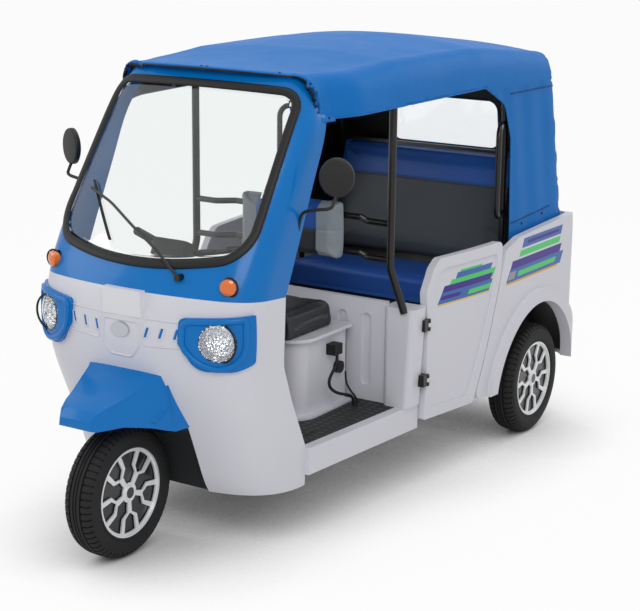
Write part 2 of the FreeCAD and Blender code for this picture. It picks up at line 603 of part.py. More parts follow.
leg_foot = front_axle - Vector(size.fork_half, 0, 0)
leg = Part.makeCylinder(size.fork_leg_radius, size.crown_reach + size.crown_height / 2, leg_foot, steer_axis)
leg_eye = Part.makeCylinder(size.fork_leg_radius * 1.4, size.fork_leg_radius * 2,
                            leg_foot - Vector(size.fork_leg_radius, 0, 0), Vector(1, 0, 0))
axle_end = size.trim_face - size.trim_wall - size.fit_gap
axle = Part.makeCylinder(size.axle_radius, size.fork_half + axle_end, leg_foot, Vector(1, 0, 0))
column_foot = along(size.crown_reach)
column = Part.makeCylinder(size.column_radius, size.column_length - size.crown_reach, column_foot, steer_axis)
node("steering_fork", solid("steering_fork_shape", crown_shape().multiFuse([leg, leg_eye, axle, column])))
bar_middle = along(size.column_length + size.stem_height / 2)
stem = Part.makeCylinder(size.stem_radius, size.stem_height, along(size.column_length), steer_axis)
bar_end = Vector(size.bar_half - size.grip_length, size.bar_sweep, size.bar_rise)
bar_knee = Vector(size.bar_knee, 0, 0)
bar_points = [bar_middle + Vector(-bar_end.x, bar_end.y, bar_end.z), bar_middle - bar_knee,
              bar_middle + bar_knee, bar_middle + bar_end]
bar = tube(bar_points, [0, size.bar_round, size.bar_round, 0], size.bar_radius)
node("handlebar", solid("handlebar_shape", bar.fuse(stem)))
grip_run = (bar_points[3] - bar_points[2]).normalize()
grip = Part.makeCylinder(size.grip_radius, size.grip_length, bar_points[3], grip_run)
node("handlebar_grips", solid("handlebar_grips_shape", both(grip)))
pod_wire = rounded_wire([Vector(x, y, 0) for x, y in (
    (-size.pod_width / 2, -size.pod_depth), (size.pod_width / 2, -size.pod_depth), (size.pod_width / 2, 0),
    (-size.pod_width / 2, 0))], [size.pod_round] * 4)
pod = prism(pod_wire, Vector(0, 0, size.pod_height))
pod.Placement = Placement(along(size.column_length) - Vector(0, size.stem_radius, size.pod_height / 4), Rotation(
    Vector(0, 0, 1), steer_axis))
node("instrument_pod", solid("instrument_pod_shape", pod.cut(stem)))


# Tyre profile: share of the way from rim to tread, then share of the half width
TYRE_SHARES = [(0.0, 0.917), (0.3, 1.0), (0.68, 0.97), (0.92, 0.76), (1.0, 0.42)]


# Wheels: the profile is (radius, distance out from the middle of the tyre)
def wheel_turned(profile, rounds, middle, side):
    points = [Vector(radius, 0, out) for radius, out in profile]
    shape = Part.Face(rounded_wire(points, rounds)).revolve(Vector(), Vector(0, 0, 1), 360)
    shape.Placement = Placement(middle, Rotation(Vector(0, 0, 1), Vector(side, 0, 0)))
    return shape


def tyre_shape(middle, side):
    """Bead, bulged sidewall, shoulder and tread as straight runs of the profile."""
    half = size.tyre_width / 2
    wall = size.tyre_radius - size.rim_radius
    profile = [(size.rim_radius + wall * up_share, half * out_share) for up_share, out_share in TYRE_SHARES]
    return wheel_turned([(radius, -out) for radius, out in profile] + profile[::-1], [0] * len(profile) * 2, middle, side)


def rim_shape(middle, side):
    bore = size.axle_radius + size.fit_gap
    outer = size.rim_radius
    inner = outer - size.rim_wall
    face = size.trim_face - size.trim_wall
    back = face - size.dish_wall
    return wheel_turned([(bore, -size.hub_half), (size.hub_radius, -size.hub_half), (size.hub_radius, back),
                         (inner, back), (inner, -size.barrel_half), (outer, -size.barrel_half),
                         (outer, size.barrel_half), (inner, size.barrel_half), (inner, face), (bore, face)],
                        [0] * 10, middle, side)


# Kinked spoke: share of the way from hub to rim, then share of the pitch to one side
SPOKE_SHARES = [(0.0, 0.10), (0.35, 0.05), (0.55, 0.27), (1.0, 0.22)]


def trim_shape(middle, side):
    """Ten kinked spokes in five mirrored pairs, with a hub cap and an outer ring."""
    rim = size.rim_radius - size.rim_wall
    wall = size.trim_wall
    ring = Part.makeCylinder(rim, wall).cut(Part.makeCylinder(rim - size.trim_ring, wall))
    pieces = [Part.makeCylinder(size.trim_hub_radius, wall), Part.makeCylinder(
        size.trim_hub_radius * 0.7, wall + size.cap_proud)]
    span = rim - size.trim_ring / 2 - size.trim_hub_radius + size.overrun
    pitch = 2 * math.pi / 5
    spine = []
    for reach_share, turn_share in SPOKE_SHARES:
        reach = size.trim_hub_radius - size.overrun + span * reach_share
        spine.append((reach, turn_share * pitch, size.spoke_width * (0.8 + 0.8 * reach_share) / 2))
    left = [Vector((r) * math.cos(a + w / r), r * math.sin(a + w / r), 0) for r, a, w in spine]
    right = [Vector((r) * math.cos(a - w / r), r * math.sin(a - w / r), 0) for r, a, w in spine]
    outline = Part.makePolygon(left + right[::-1] + left[:1])
    spoke = prism(outline, Vector(0, 0, wall))
    pair = [spoke, spoke.mirror(Vector(), Vector(0, 1, 0))]
    for index in range(5):
        for one in pair:
            copy = one.copy()
            copy.rotate(Vector(), Vector(0, 0, 1), 72 * index)
            pieces.append(copy)
    star = ring.multiFuse(pieces).removeSplitter()
    star.Placement = Placement(middle + Vector(side * (size.trim_face - wall), 0, 0), Rotation(
        Vector(0, 0, 1), Vector(side, 0, 0)))
    return star


rear_wheels = {"left": (1, Vector(size.rear_track / 2, half_base, size.tyre_radius)),
               "right": (-1, Vector(-size.rear_track / 2, half_base, size.tyre_radius))}
node("front_tyre", solid("front_tyre_shape", tyre_shape(front_axle, 1)))
node("front_rim", solid("front_rim_shape", rim_shape(front_axle, 1).fuse(trim_shape(front_axle, 1))))
for name, (side, middle) in rear_wheels.items():
    node("rear_tyre_" + name, solid("rear_tyre_shape_" + name, tyre_shape(middle, side)))
    node("rear_rim_" + name, solid("rear_rim_shape_" + name, rim_shape(middle, side).fuse(trim_shape(middle, side))))

# Chassis rails with a kick over the rear axle, cross members and floor
rail_low, rail_top = size.rail_low_z, size.rail_low_z + size.rail_height
rail_back_y = size.rear_face_y - size.side_wall
rail_places = [(size.rail_front_y, rail_low), (size.kick_y, rail_low), (size.kick_end_y, rail_low + size.kick_rise),
               (rail_back_y, rail_low + size.kick_rise), (rail_back_y, rail_top + size.kick_rise),
               (size.kick_end_y - size.overrun * 2, rail_top + size.kick_rise), (size.kick_y - size.overrun * 2, rail_top),
               (size.rail_front_y, rail_top)]
rail = side_prism(rail_places, [0] * 8, size.rail_x - size.rail_width / 2, size.rail_x + size.rail_width / 2)
rail_pair = solid("chassis_rail_pair", both(rail))
CROSS_MEMBERS = (("rail_front_y", "rail_low_z"), ("post_y", "rail_low_z"), ("arm_front_y - 0.5 * rail_width", "rail_low_z"),
                 ("battery_front_y", "rail_low_z"), ("battery_back_y - rail_width", "rail_low_z"),
                 ("rear_face_y - side_wall - 2 * rail_width", "rail_low_z + kick_rise"))
cross = []
for index, (start, low) in enumerate(CROSS_MEMBERS):
    cross.append(box("cross_member_%d" % index, ("-rail_x + rail_width / 2", "rail_x - rail_width / 2"),
                     (start, start + " + rail_width"), (low, low + " + cross_height")))
head_tube = Part.makeCylinder(size.head_tube_radius, size.head_top_reach - size.head_low_reach, along(size.head_low_reach),
                              steer_axis)
strut_head = along(size.head_strut_reach)
strut_foot = Vector(size.rail_x, size.rail_front_y + size.rail_width / 2, rail_low + size.rail_height / 2)
strut = Part.makeCylinder(size.head_strut_radius, (strut_foot - strut_head).Length, strut_head, strut_foot - strut_head)
column_bore = Part.makeCylinder(size.column_radius + size.fit_gap, size.column_length, front_axle, steer_axis)
head_frame = head_tube.multiFuse([strut, flip(strut)]).cut(column_bore)
node("chassis_frame", fuse("chassis_joined", rail_pair, solid("steering_head", head_frame), *cross))
sill_in = size.sill_front_half - size.sill_wall
sill_in_back = size.sill_back_half - size.sill_wall
floor_low = size.floor_top_z - size.floor_wall
floor_points = [(size.floor_half, size.toe_y), (size.floor_half, size.cowl_back_y), (sill_in, size.cowl_back_y),
                (sill_in_back, size.sill_back_y), (size.floor_back_half, size.sill_back_y),
                (size.floor_back_half, size.bench_front_y), (size.bench_panel_half, size.bench_front_y),
                (size.bench_panel_half, size.bench_front_y + size.bench_panel_wall)]
floor_outline = floor_points + [(-x, y) for x, y in reversed(floor_points)]
floor_plate = plan_prism(floor_outline, [0] * len(floor_outline), floor_low, size.floor_top_z)
floor_plate = largest(floor_plate.cut(front_shell.common(lower_zone)))
node("floor_pan", solid("floor_pan_shape", floor_plate.fuse(toe_board)))
sill = plan_prism([(sill_in, size.cowl_back_y), (size.sill_front_half, size.cowl_back_y),
                   (size.sill_back_half, size.sill_back_y), (sill_in_back, size.sill_back_y)], [0] * 4,
                  size.sill_low_z, size.floor_top_z)
node("sills", solid("sills_shape", both(sill)))

# Rubber mat in the driver's foot space, inside the edges of the floor
mat_front = size.toe_y + size.liner_wall + size.mat_edge
mat_back = size.box_front_y - size.box_foot - size.mat_edge
mat = plan_prism([(-size.mat_half, mat_front), (size.mat_half, mat_front), (size.mat_half, mat_back),
                  (-size.mat_half, mat_back)], [size.mat_corner] * 4, size.floor_top_z,
                 size.floor_top_z + size.mat_wall)
node("floor_mat", solid("floor_mat_shape", mat))

# Driver's seat box on its foot flange, with a lipped top plate
def seat_tier(grow, low, high):
    half, front, back = size.box_half + grow, size.box_front_y - grow, size.box_back_y
    turn = size.box_round + grow
    return plan_prism([(-half, front), (half, front), (half, back), (-half, back)],
                      [turn, turn, size.box_wall, size.box_wall], low, high)


seat_low = size.floor_top_z
seat_box = seat_tier(0, seat_low, size.box_top_z).cut(seat_tier(-size.box_wall, seat_low, size.box_top_z))
foot_flange = seat_tier(size.box_foot, seat_low, seat_low + size.box_wall).cut(
    seat_tier(-size.box_wall, seat_low, size.box_top_z))
seat_plate = seat_tier(size.box_plate_lip, size.box_top_z, size.box_top_z + size.box_plate_wall)
node("driver_seat_box", solid("driver_seat_box_shape", seat_box.fuse(foot_flange).fuse(seat_plate).removeSplitter()))


def soft_block(x, y, z, turn):
    """A plain cushion with all its edges rounded."""
    block = Part.makeBox(x[1] - x[0], y[1] - y[0], z[1] - z[0], Vector(x[0], y[0], z[0]))
    return block.makeFillet(turn, block.Edges)


cushion_low = size.box_top_z + size.box_plate_wall + size.seat_gap
node("driver_cushion", solid("driver_cushion_shape", soft_block(
    (-size.driver_cushion_half, size.driver_cushion_half), (size.driver_cushion_front_y, size.driver_cushion_back_y),
    (cushion_low, cushion_low + size.driver_cushion_height), size.cushion_round)))
rail_face_y = size.post_y + size.back_rail_drop - size.cross_tube_radius - size.seat_gap
node("driver_backrest", solid("driver_backrest_shape", soft_block(
    (-size.driver_back_half, size.driver_back_half), (rail_face_y - size.driver_back_wall, rail_face_y),
    (size.driver_back_low_z, size.driver_back_top_z), size.cushion_round)))

# Partition with pressed ribs, and its pillar boxes
partition = Part.makeBox(size.partition_half * 2, size.partition_wall, size.partition_top_z - size.floor_top_z,
                         Vector(-size.partition_half, size.partition_y, size.floor_top_z))
rib_count = int(size.partition_half / size.rib_pitch)
for index in range(-rib_count, rib_count + 1):
    centre = index * size.rib_pitch
    rib = front_prism([(centre - size.rib_half, size.rib_low_z), (centre + size.rib_half, size.rib_low_z),
                       (centre + size.rib_half, size.rib_top_z), (centre - size.rib_half, size.rib_top_z)],
                      [size.rib_half * 0.98] * 4, size.partition_y - size.overrun, size.partition_y + size.rib_depth)
    partition = partition.cut(rib)
pillar_foot = rounded_wire([Vector(size.partition_half, size.pillar_front_y, size.floor_top_z),
                            Vector(size.pillar_foot_half, size.pillar_front_y, size.floor_top_z),
                            Vector(size.pillar_foot_half, size.pillar_back_y, size.floor_top_z),
                            Vector(size.partition_half, size.pillar_back_y, size.floor_top_z)],
                           [size.pillar_round, size.pillar_round, size.pillar_round / 2, size.pillar_round / 2])
pillar_head = rounded_wire([Vector(size.partition_half, size.pillar_front_y, size.post_foot_z),
                            Vector(size.pillar_half, size.pillar_front_y, size.post_foot_z),
                            Vector(size.pillar_half, size.pillar_back_y, size.post_foot_z),
                            Vector(size.partition_half, size.pillar_back_y, size.post_foot_z)],
                           [size.pillar_round, size.pillar_round, size.pillar_round / 2, size.pillar_round / 2])
pillar = Part.makeLoft([pillar_foot, pillar_head], True, True)
node("partition", solid("partition_shape", partition.fuse(pillar).fuse(flip(pillar))))

# Tube frame: door posts joined over the roof, cross rails behind the driver, roof rails and bows
post_points = [Vector(size.post_foot_x, size.post_foot_y, size.post_foot_z), Vector(size.post_x, size.post_y, size.post_bend_z),
               Vector(size.post_x, size.post_y, size.bow_z)]
post_points += [Vector(-point.x, point.y, point.z) for point in reversed(post_points)]
post_points[0].z -= size.tube_radius
post_points[-1].z -= size.tube_radius
hoop = tube(post_points, [0, size.bow_bend, size.bow_bend, size.bow_bend, size.bow_bend, 0], size.tube_radius)
hoop = hoop.cut(both(pillar))


def back_rail(level):
    start = size.post_x
    mid = start - size.back_rail_start
    last = mid - size.back_rail_run
    drop = size.post_y + size.back_rail_drop
    half = [Vector(start, size.post_y, level), Vector(mid, size.post_y, level), Vector(last, drop, level)]
    points = half + [Vector(-point.x, point.y, point.z) for point in reversed(half)]
    turn = size.back_rail_drop / 2
    return tube(points, [0, turn, turn, turn, turn, 0], size.cross_tube_radius)


frame_shape = hoop.fuse(back_rail(size.back_rail_top_z)).fuse(back_rail(size.back_rail_low_z))
node("door_post_hoop", solid("door_post_hoop_shape", frame_shape))
roof_bow_share = CANOPY_SHARES[2]
roof_bow_y = roof_bow_share[0] * half_base
roof_half = [Vector(size.side_rail_x, size.side_rail_front_y, size.side_rail_z),
             Vector(size.side_rail_mid_x, size.post_y + size.tube_radius * 4, size.side_rail_z),
             Vector(size.side_rail_back_x, roof_bow_y, size.side_rail_z),
             Vector(size.side_rail_back_x, size.side_rail_back_y, size.side_rail_z - size.tube_radius * 2)]
side_rail = tube(roof_half, [0, size.bow_z / 4, size.bow_z / 4, 0], size.cross_tube_radius)
side_rail = largest(side_rail.cut(front_wall(0, size.shell_wall)))


def roof_bow(y, edge_z, crown_z):
    points = [Vector(size.side_rail_back_x, y, size.side_rail_z), Vector(size.side_rail_back_x - size.bow_bend, y, edge_z),
              Vector(0, y, crown_z)]
    points += [Vector(-point.x, point.y, point.z) for point in reversed(points[:2])]
    return tube(points, [0, size.bow_bend, size.bow_z * 2, size.bow_bend, 0], size.cross_tube_radius)


bow_under = size.canopy_wall + size.cross_tube_radius + size.seat_gap
bow_edge = roof_bow_share[6] * size.canopy_ref_z - bow_under
bow_crown = roof_bow_share[7] * size.canopy_ref_z - bow_under
roof = side_rail.fuse(flip(side_rail)).fuse(roof_bow(roof_bow_y, bow_edge, bow_crown))
roof = roof.cut(hoop)
rear_post = tube([Vector(size.rear_post_x, size.rear_post_y, size.rear_post_foot_z),
                  Vector(size.rear_post_x, size.rear_post_y, size.flap_fall_z),
                  Vector(size.side_rail_back_x, size.rear_post_y, size.side_rail_z)],
                 [0, size.bow_bend * 2, 0], size.cross_tube_radius)
grab = tube([Vector(size.rear_post_x, size.rear_post_y, size.grab_low_z), Vector(size.grab_x, size.grab_y, size.grab_low_z),
             Vector(size.grab_x, size.grab_y, size.grab_top_z), Vector(size.rear_post_x, size.rear_post_y, size.grab_top_z)],
            [0, size.bow_bend / 2, size.bow_bend / 2, 0], size.grab_radius)
housing_cylinder = Part.makeCylinder(size.arch_radius, size.side_rear_half, Vector(0, size.arch_y, size.arch_z), Vector(1, 0, 0))
rear_post = rear_post.cut(housing_cylinder)
grab = grab.cut(rear_post)
roof = roof.cut(rear_post).cut(flip(rear_post))
node("roof_rails", solid("roof_rails_shape", roof))
node("rear_posts", solid("rear_posts_shape", both(rear_post.fuse(grab))))


# Rear side surface, shifted inwards by an inset
def side_section(share, half, inset):
    y = share * half_base
    half = half - inset
    low = Vector(half - size.side_low_in, y, size.side_low_z - size.overrun)
    belly = Vector(half + size.side_low_in, y, size.side_belly_z)
    shoulder = Vector(half + size.side_shoulder_in, y, size.side_shoulder_z)
    top = Vector(half - size.side_top_in, y, size.side_top_z)
    other = [Vector(-point.x, y, point.z) for point in (low, belly, shoulder, top)]
    return Part.Wire([bezier_edge(*other), line_edge(other[3], top), bezier_edge(top, shoulder, belly, low),
                      line_edge(low, other[0])])


side_halves = [size.side_start_half, size.side_front_half, size.side_door_half, size.side_quarter_half,
               size.side_rear_half, size.side_rear_half]


def side_volume(inset):
    sections = [side_section(share, half, inset) for share, half in zip(SIDE_STATION_SHARES, side_halves)]
    loft = Part.makeLoft(sections, True, False)
    wide = size.side_rear_half - inset
    turn = size.rear_corner - inset
    back = size.rear_face_y - inset
    plan = plan_prism([(-wide, 0), (wide, 0), (wide, back), (-wide, back)], [0, 0, turn, turn],
                      size.side_low_z - size.overrun * 2, size.side_top_z + size.overrun)
    return loft.common(plan)


side_outer = side_volume(0)
side_inner = side_volume(size.side_wall)
side_shell = side_outer.cut(side_inner)
far = size.side_rear_half * 1.2
door_back = [(size.door_back_low_y, size.side_low_z), (size.door_back_mid_y, size.door_back_mid_z),
             (size.door_back_high_y, size.door_back_high_z), (size.door_back_top_y, size.door_back_top_z)]


def door_outline(inset, low_x, high_x):
    places = [(size.door_front_y + inset, size.side_low_z + inset)]
    places += [(door_back[0][0] - inset, door_back[0][1] + inset)]
    places += [(y - inset, level) for y, level in door_back[1:3]]
    places += [(door_back[3][0] - inset, size.door_top_z - inset), (size.door_top_y + inset / 2, size.door_top_z - inset),
               (size.door_slant_y + inset, size.door_slant_high_z - inset / 2),
               (size.door_front_y + inset, size.door_slant_z)]
    turn = size.door_round
    return side_prism(places, [turn / 4, turn / 4, turn * 4, turn * 4, turn / 2, turn, turn, turn], low_x, high_x)


door = side_shell.common(door_outline(0, 0, far))
door_skin = side_outer.cut(side_volume(size.door_recess)).common(door_outline(size.door_border, 0, far))
door = door.cut(door_skin)
gap = size.door_gap
quarter_places = [(door_back[0][0] + gap, size.side_low_z), (size.rear_face_y + size.overrun, size.side_low_z),
                  (size.rear_face_y + size.overrun, size.quarter_top_z), (size.quarter_rise_y, size.quarter_rise_z),
                  (size.quarter_notch_y + gap, size.quarter_notch_z), (door_back[2][0] + gap, door_back[2][1]),
                  (door_back[1][0] + gap, door_back[1][1])]
quarter_zone = side_prism(quarter_places, [size.door_round, 0, size.door_round, size.door_round * 4, size.door_round,
                                           size.door_round * 4, size.door_round * 4], size.tailgate_half, far)
arch_disc = Part.makeCylinder(size.arch_radius, far, Vector(0, size.arch_y, size.arch_z), Vector(1, 0, 0))
flare_disc = Part.makeCylinder(size.flare_radius, far * 1.2, Vector(size.tailgate_half, size.arch_y, size.arch_z), Vector(1, 0, 0))
flare = side_volume(-size.flare_proud).cut(side_outer).common(flare_disc).common(quarter_zone)
quarter = side_shell.common(quarter_zone).fuse(flare).cut(arch_disc)
panel_zone = front_prism([(-size.tailgate_half, size.tailgate_low_z), (size.tailgate_half, size.tailgate_low_z),
                          (size.tailgate_half, size.quarter_top_z), (-size.tailgate_half, size.quarter_top_z)],
                         [0] * 4, size.arch_y, size.rear_face_y + size.overrun)
rear_panel = side_shell.common(panel_zone)
node("rear_quarter_left", solid("rear_quarter_left_shape", quarter))
node("rear_quarter_right", solid("rear_quarter_right_shape", flip(quarter)))
node("rear_panel", solid("rear_panel_shape", rear_panel))

# Wheel housings inside the rear arches
housing_outer = size.arch_radius - size.fit_gap
housing_base = Vector(size.housing_in_half, size.arch_y, size.arch_z)
housing_run = far - size.housing_in_half
housing = Part.makeCylinder(housing_outer, housing_run, housing_base, Vector(1, 0, 0))
housing = housing.cut(Part.makeCylinder(housing_outer - size.housing_wall, housing_run,
                                        housing_base + Vector(size.housing_wall, 0, 0), Vector(1, 0, 0)))
housing_zone = side_prism([(size.bench_front_y, size.housing_low_z), (size.rear_face_y, size.housing_low_z),
                           (size.rear_face_y, size.side_top_z), (size.bench_front_y, size.side_top_z)], [0] * 4, 0, far)
housing = housing.common(housing_zone).common(side_volume(size.side_wall + size.fit_gap))
node("wheel_housings", solid("wheel_housings_shape", both(housing)))

# Door hinges: fixed leaves with a lower and an upper knuckle, and a door knuckle between them
def hinge_parts(middle_z, fixed):
    third = size.hinge_height / 3
    base = Vector(size.hinge_x, size.hinge_y, middle_z - size.hinge_height / 2)
    if fixed:
        low = Part.makeCylinder(size.hinge_radius, third - size.fit_gap, base)
        high = Part.makeCylinder(size.hinge_radius, third - size.fit_gap, base + Vector(0, 0, 2 * third + size.fit_gap))
        inner_x = size.pillar_foot_half - size.pillar_round
        leaf = Part.makeBox(size.hinge_x + size.hinge_leaf_wall / 2 - inner_x, size.hinge_leaf, size.hinge_height,
                            Vector(inner_x, size.hinge_y - size.hinge_leaf, base.z))
        return leaf.cut(Part.makeCylinder(size.hinge_radius + size.fit_gap * 2, third, base + Vector(0, 0, third))).fuse(
            low).fuse(high)
    knuckle = Part.makeCylinder(size.hinge_radius, third, base + Vector(0, 0, third))
    leaf_in = size.side_front_half - size.side_wall / 2
    leaf = Part.makeBox(size.hinge_x + size.hinge_leaf_wall / 2 - leaf_in, size.hinge_leaf, third,
                        Vector(leaf_in, size.door_front_y + size.seat_gap, base.z + third))
    link = Part.makeBox(size.hinge_leaf_wall, size.hinge_leaf, third,
                        Vector(size.hinge_x - size.hinge_leaf_wall / 2, size.hinge_y, base.z + third))
    return knuckle.fuse(leaf).fuse(link)


def hinge_pair(fixed):
    upper = hinge_parts(size.hinge_upper_z, fixed)
    lower = hinge_parts(size.hinge_lower_z, fixed)
    return Part.makeCompound([upper, lower])


hinge_fixed = hinge_pair(True).cut(pillar)
hung_door = door.fuse(hinge_pair(False).Solids)
node("door_hinges", solid("door_hinges_shape", both(hinge_fixed)))
node("door_left", solid("door_left_shape", hung_door))
node("door_right", solid("door_right_shape", flip(hung_door)))

# Rear bumper, its brackets and the tail lamps
bumper_bar = box("bumper_bar", ("-bumper_half", "bumper_half"), ("bumper_end_y - bumper_wall", "bumper_end_y"),
                 ("bumper_low_z", "bumper_low_z + bumper_height"))
bumper_arm = box("bumper_arm", ("rail_x - rail_width / 4", "rail_x + rail_width / 4"),
                 ("rear_face_y - side_wall - 2 * rail_width", "bumper_end_y - bumper_wall"),
                 ("bumper_low_z", "rail_low_z + kick_rise"))
node("rear_bumper", fuse("bumper_joined", bumper_bar, *both_sides("bumper_arm_pair", bumper_arm)))
tail_lamp = box("tail_lamp", ("tail_lamp_x - tail_lamp_width / 2", "tail_lamp_x + tail_lamp_width / 2"),
                ("rear_face_y", "rear_face_y + tail_lamp_depth"),
                ("tail_lamp_z - tail_lamp_height / 2", "tail_lamp_z + tail_lamp_height / 2"))
node("tail_lamps", *both_sides("tail_lamp_pair", tail_lamp))

# Passenger bench on its base, and the backrest on its board
bench_top = size.bench_base_z
bench_plate = box("bench_plate", ("-bench_panel_half", "bench_panel_half"), ("bench_front_y", "rear_face_y - side_wall"),
                  ("bench_base_z - floor_wall", "bench_base_z"))
bench_front = box("bench_front", ("-bench_panel_half", "bench_panel_half"),
                  ("bench_front_y", "bench_front_y + bench_panel_wall"), ("floor_top_z", "bench_base_z"))
bench_side = box("bench_side", ("bench_panel_half - bench_panel_wall", "bench_panel_half"),
                 ("bench_front_y", "rear_face_y - side_wall"), ("rail_low_z + kick_rise + rail_height", "bench_base_z"))
node("passenger_cushion", solid("passenger_cushion_shape", soft_block(
    (-size.bench_half, size.bench_half), (size.bench_front_y, size.bench_back_y),
    (bench_top + size.seat_gap, bench_top + size.seat_gap + size.bench_height), size.cushion_round)))
back_low_z = bench_top + size.seat_gap + size.bench_height + size.seat_gap
lean = (size.backrest_top_y - size.backrest_low_y) / (size.backrest_top_z - back_low_z)
back_face = [(size.backrest_low_y, back_low_z), (size.backrest_low_y + size.backrest_wall, back_low_z),
             (size.backrest_top_y + size.backrest_wall, size.backrest_top_z), (size.backrest_top_y, size.backrest_top_z)]
backrest = side_prism(back_face, [size.cushion_round] * 4, -size.bench_half, size.bench_half)
node("passenger_backrest", solid("passenger_backrest_shape", backrest))
board_low_y = size.backrest_low_y + size.backrest_wall + size.seat_gap * 2 - lean * (back_low_z - bench_top)
board_top_y = size.backrest_top_y + size.backrest_wall + size.seat_gap * 2
board = side_prism([(board_low_y, bench_top), (board_low_y + size.floor_wall, bench_top),
                    (board_top_y + size.floor_wall, size.backrest_top_z), (board_top_y, size.backrest_top_z)],
                   [0] * 4, -size.bench_half, size.bench_half)
node("bench_frame", fuse("bench_frame_joined", bench_plate, bench_front, solid("backrest_board", board),
                         *both_sides("bench_side_pair", bench_side)))

# Canopy and its rear window
node("canopy", solid("canopy_shape", canopy_shell.cut(window_hole).cut(front_core.common(
    Part.makeBox(wide_reach * 2, size.shell_ref_y * 2, size.roof_line_z - size.screen_top_z,
                 Vector(-wide_reach, front_reach, size.screen_top_z))))))
window_pane = canopy_volume(size.canopy_wall / 2).cut(canopy_volume(size.canopy_wall / 2 + size.window_wall)).common(window_hole)
node("rear_window", solid("rear_window_shape", window_pane))

# Rear axle with the drive motor, trailing arms and dampers, and the battery
tube_span = ("motor_half", "rear_track / 2 - hub_half - clearance - 2 * clearance")
axle_tube = rod("axle_tube", "X", "axle_tube_radius", tube_span, ("wheelbase / 2", "tyre_radius"))
drum = rod("axle_drum", "X", "motor_radius - clearance", (tube_span[1] + " - hub_half", tube_span[1]),
           ("wheelbase / 2", "tyre_radius"))
stub = rod("axle_stub", "X", "axle_radius", (tube_span[1], "rear_track / 2 + trim_face - trim_wall - 1 * fit_gap"),
           ("wheelbase / 2", "tyre_radius"))
motor = rod("motor_case", "X", "motor_radius", ("-motor_half", "motor_half"), ("wheelbase / 2", "tyre_radius"))
node("rear_axle", fuse("axle_joined", motor, *both_sides("axle_half_mirror", fuse("axle_half", axle_tube, drum, stub))))
pivot = rod("arm_pivot", "X", "arm_radius", ("-arm_x - arm_radius", "arm_x + arm_radius"),
            ("arm_front_y", "rail_low_z - arm_radius"))
arm = Part.makeCylinder(size.arm_radius, Vector(0, half_base - size.arm_front_y, size.rail_low_z - size.arm_radius - size.tyre_radius).Length,
                        Vector(size.arm_x, size.arm_front_y, size.rail_low_z - size.arm_radius),
                        Vector(0, half_base - size.arm_front_y, size.tyre_radius - size.rail_low_z + size.arm_radius))
axle_bar = Part.makeCylinder(size.axle_tube_radius, size.rear_track, Vector(-size.rear_track / 2, half_base, size.tyre_radius), Vector(1, 0, 0))
arms = both(arm.cut(axle_bar))
trailing_arms = fuse("rear_arms_joined", solid("rear_arm_shapes", arms), pivot)
damper_top = size.rail_low_z + size.kick_rise
damper = Part.makeCylinder(size.damper_radius, damper_top - size.tyre_radius, Vector(size.rail_x, half_base, size.tyre_radius))
node("rear_suspension", trailing_arms, solid("rear_dampers_shape", both(damper.cut(axle_bar))))
node("battery", box("battery_case", ("-battery_half", "battery_half"), ("battery_front_y", "battery_back_y"),
                    ("rail_low_z + cross_height", "rail_low_z + cross_height + battery_height")))


# Mirrors on bent stalks, wiper
def mirror_shape():
    foot = Vector(size.shell_ref_x - size.mirror_arm_radius, size.mirror_foot_y, size.mirror_foot_z)
    bend = Vector(size.mirror_bend_x, size.mirror_bend_y, size.mirror_bend_z)
    head = Vector(size.mirror_x, size.mirror_y, size.mirror_z)
    stalk = tube([foot, bend, head], [0, size.bow_bend / 3, 0], size.mirror_arm_radius)
    disc = Part.makeCylinder(size.mirror_radius, size.mirror_wall, head - Vector(0, size.mirror_wall / 2, 0), Vector(0, 1, 0))
    rim = [edge for edge in disc.Edges if edge.Length > size.mirror_wall * 2]
    return stalk.fuse(disc.makeFillet(size.mirror_wall / 3, rim)).cut(front_core)


mirror = mirror_shape()
node("mirrors", solid("mirrors_shape", both(mirror)))


def screen_at(x, level, off):
    """A place at a distance in front of the bowed nose surface."""
    for low, high in zip(FRONT_SHARES, FRONT_SHARES[1:]):
        if low[0] * size.shell_ref_z <= level <= high[0] * size.shell_ref_z:
            part = (level / size.shell_ref_z - low[0]) / (high[0] - low[0])
            wide, nose, bow, corner = [low[index] + (high[index] - low[index]) * part for index in range(1, 5)]
    flat = (wide - corner) * size.shell_ref_x
    rise = bow * size.shell_ref_x
    ball = (flat * flat + rise * rise) / (2 * rise)
    return Vector(x, nose * size.shell_ref_y + ball - math.sqrt(ball * ball - x * x) - off, level)


WIPER_SHARES = [(1.0, 0.0), (0.45, 0.35), (-0.2, 0.62), (-0.85, 0.87), (-1.45, 1.0)]
wiper_rise = size.wiper_tip_z - size.wiper_z
wiper_points = [screen_at(size.wiper_x * across, size.wiper_z + wiper_rise * up, size.wiper_off) for across, up in WIPER_SHARES]
wiper = tube(wiper_points, [0, size.bow_z / 4, size.bow_z / 4, size.bow_z / 4, 0], size.wiper_rod)
wiper_boss = Part.makeCylinder(size.wiper_rod * 2.4, size.wiper_off * 4, wiper_points[0] - Vector(0, size.wiper_rod * 2, 0),
                               Vector(0, 1, 0))
wiper_root = wiper.fuse(wiper_boss).cut(front_wall(-size.seal_proud - size.seat_gap, size.shell_wall)).cut(front_core)
boss_base = wiper_boss.cut(front_core)
node("wiper", solid("wiper_shape", wiper_root.fuse(boss_base)))

# Charging connector and its cap
plug = box("plug_body", ("box_half", "box_half + plug_deep"), ("plug_y - plug_long / 2", "plug_y + plug_long / 2"),
           ("plug_z - plug_deep / 2", "plug_z + plug_deep / 2"))
cap = rod("plug_cap", "X", "cap_radius", ("box_half", "box_half + plug_deep / 2"), ("cap_y", "cap_z"))
node("charging_socket", plug, cap)

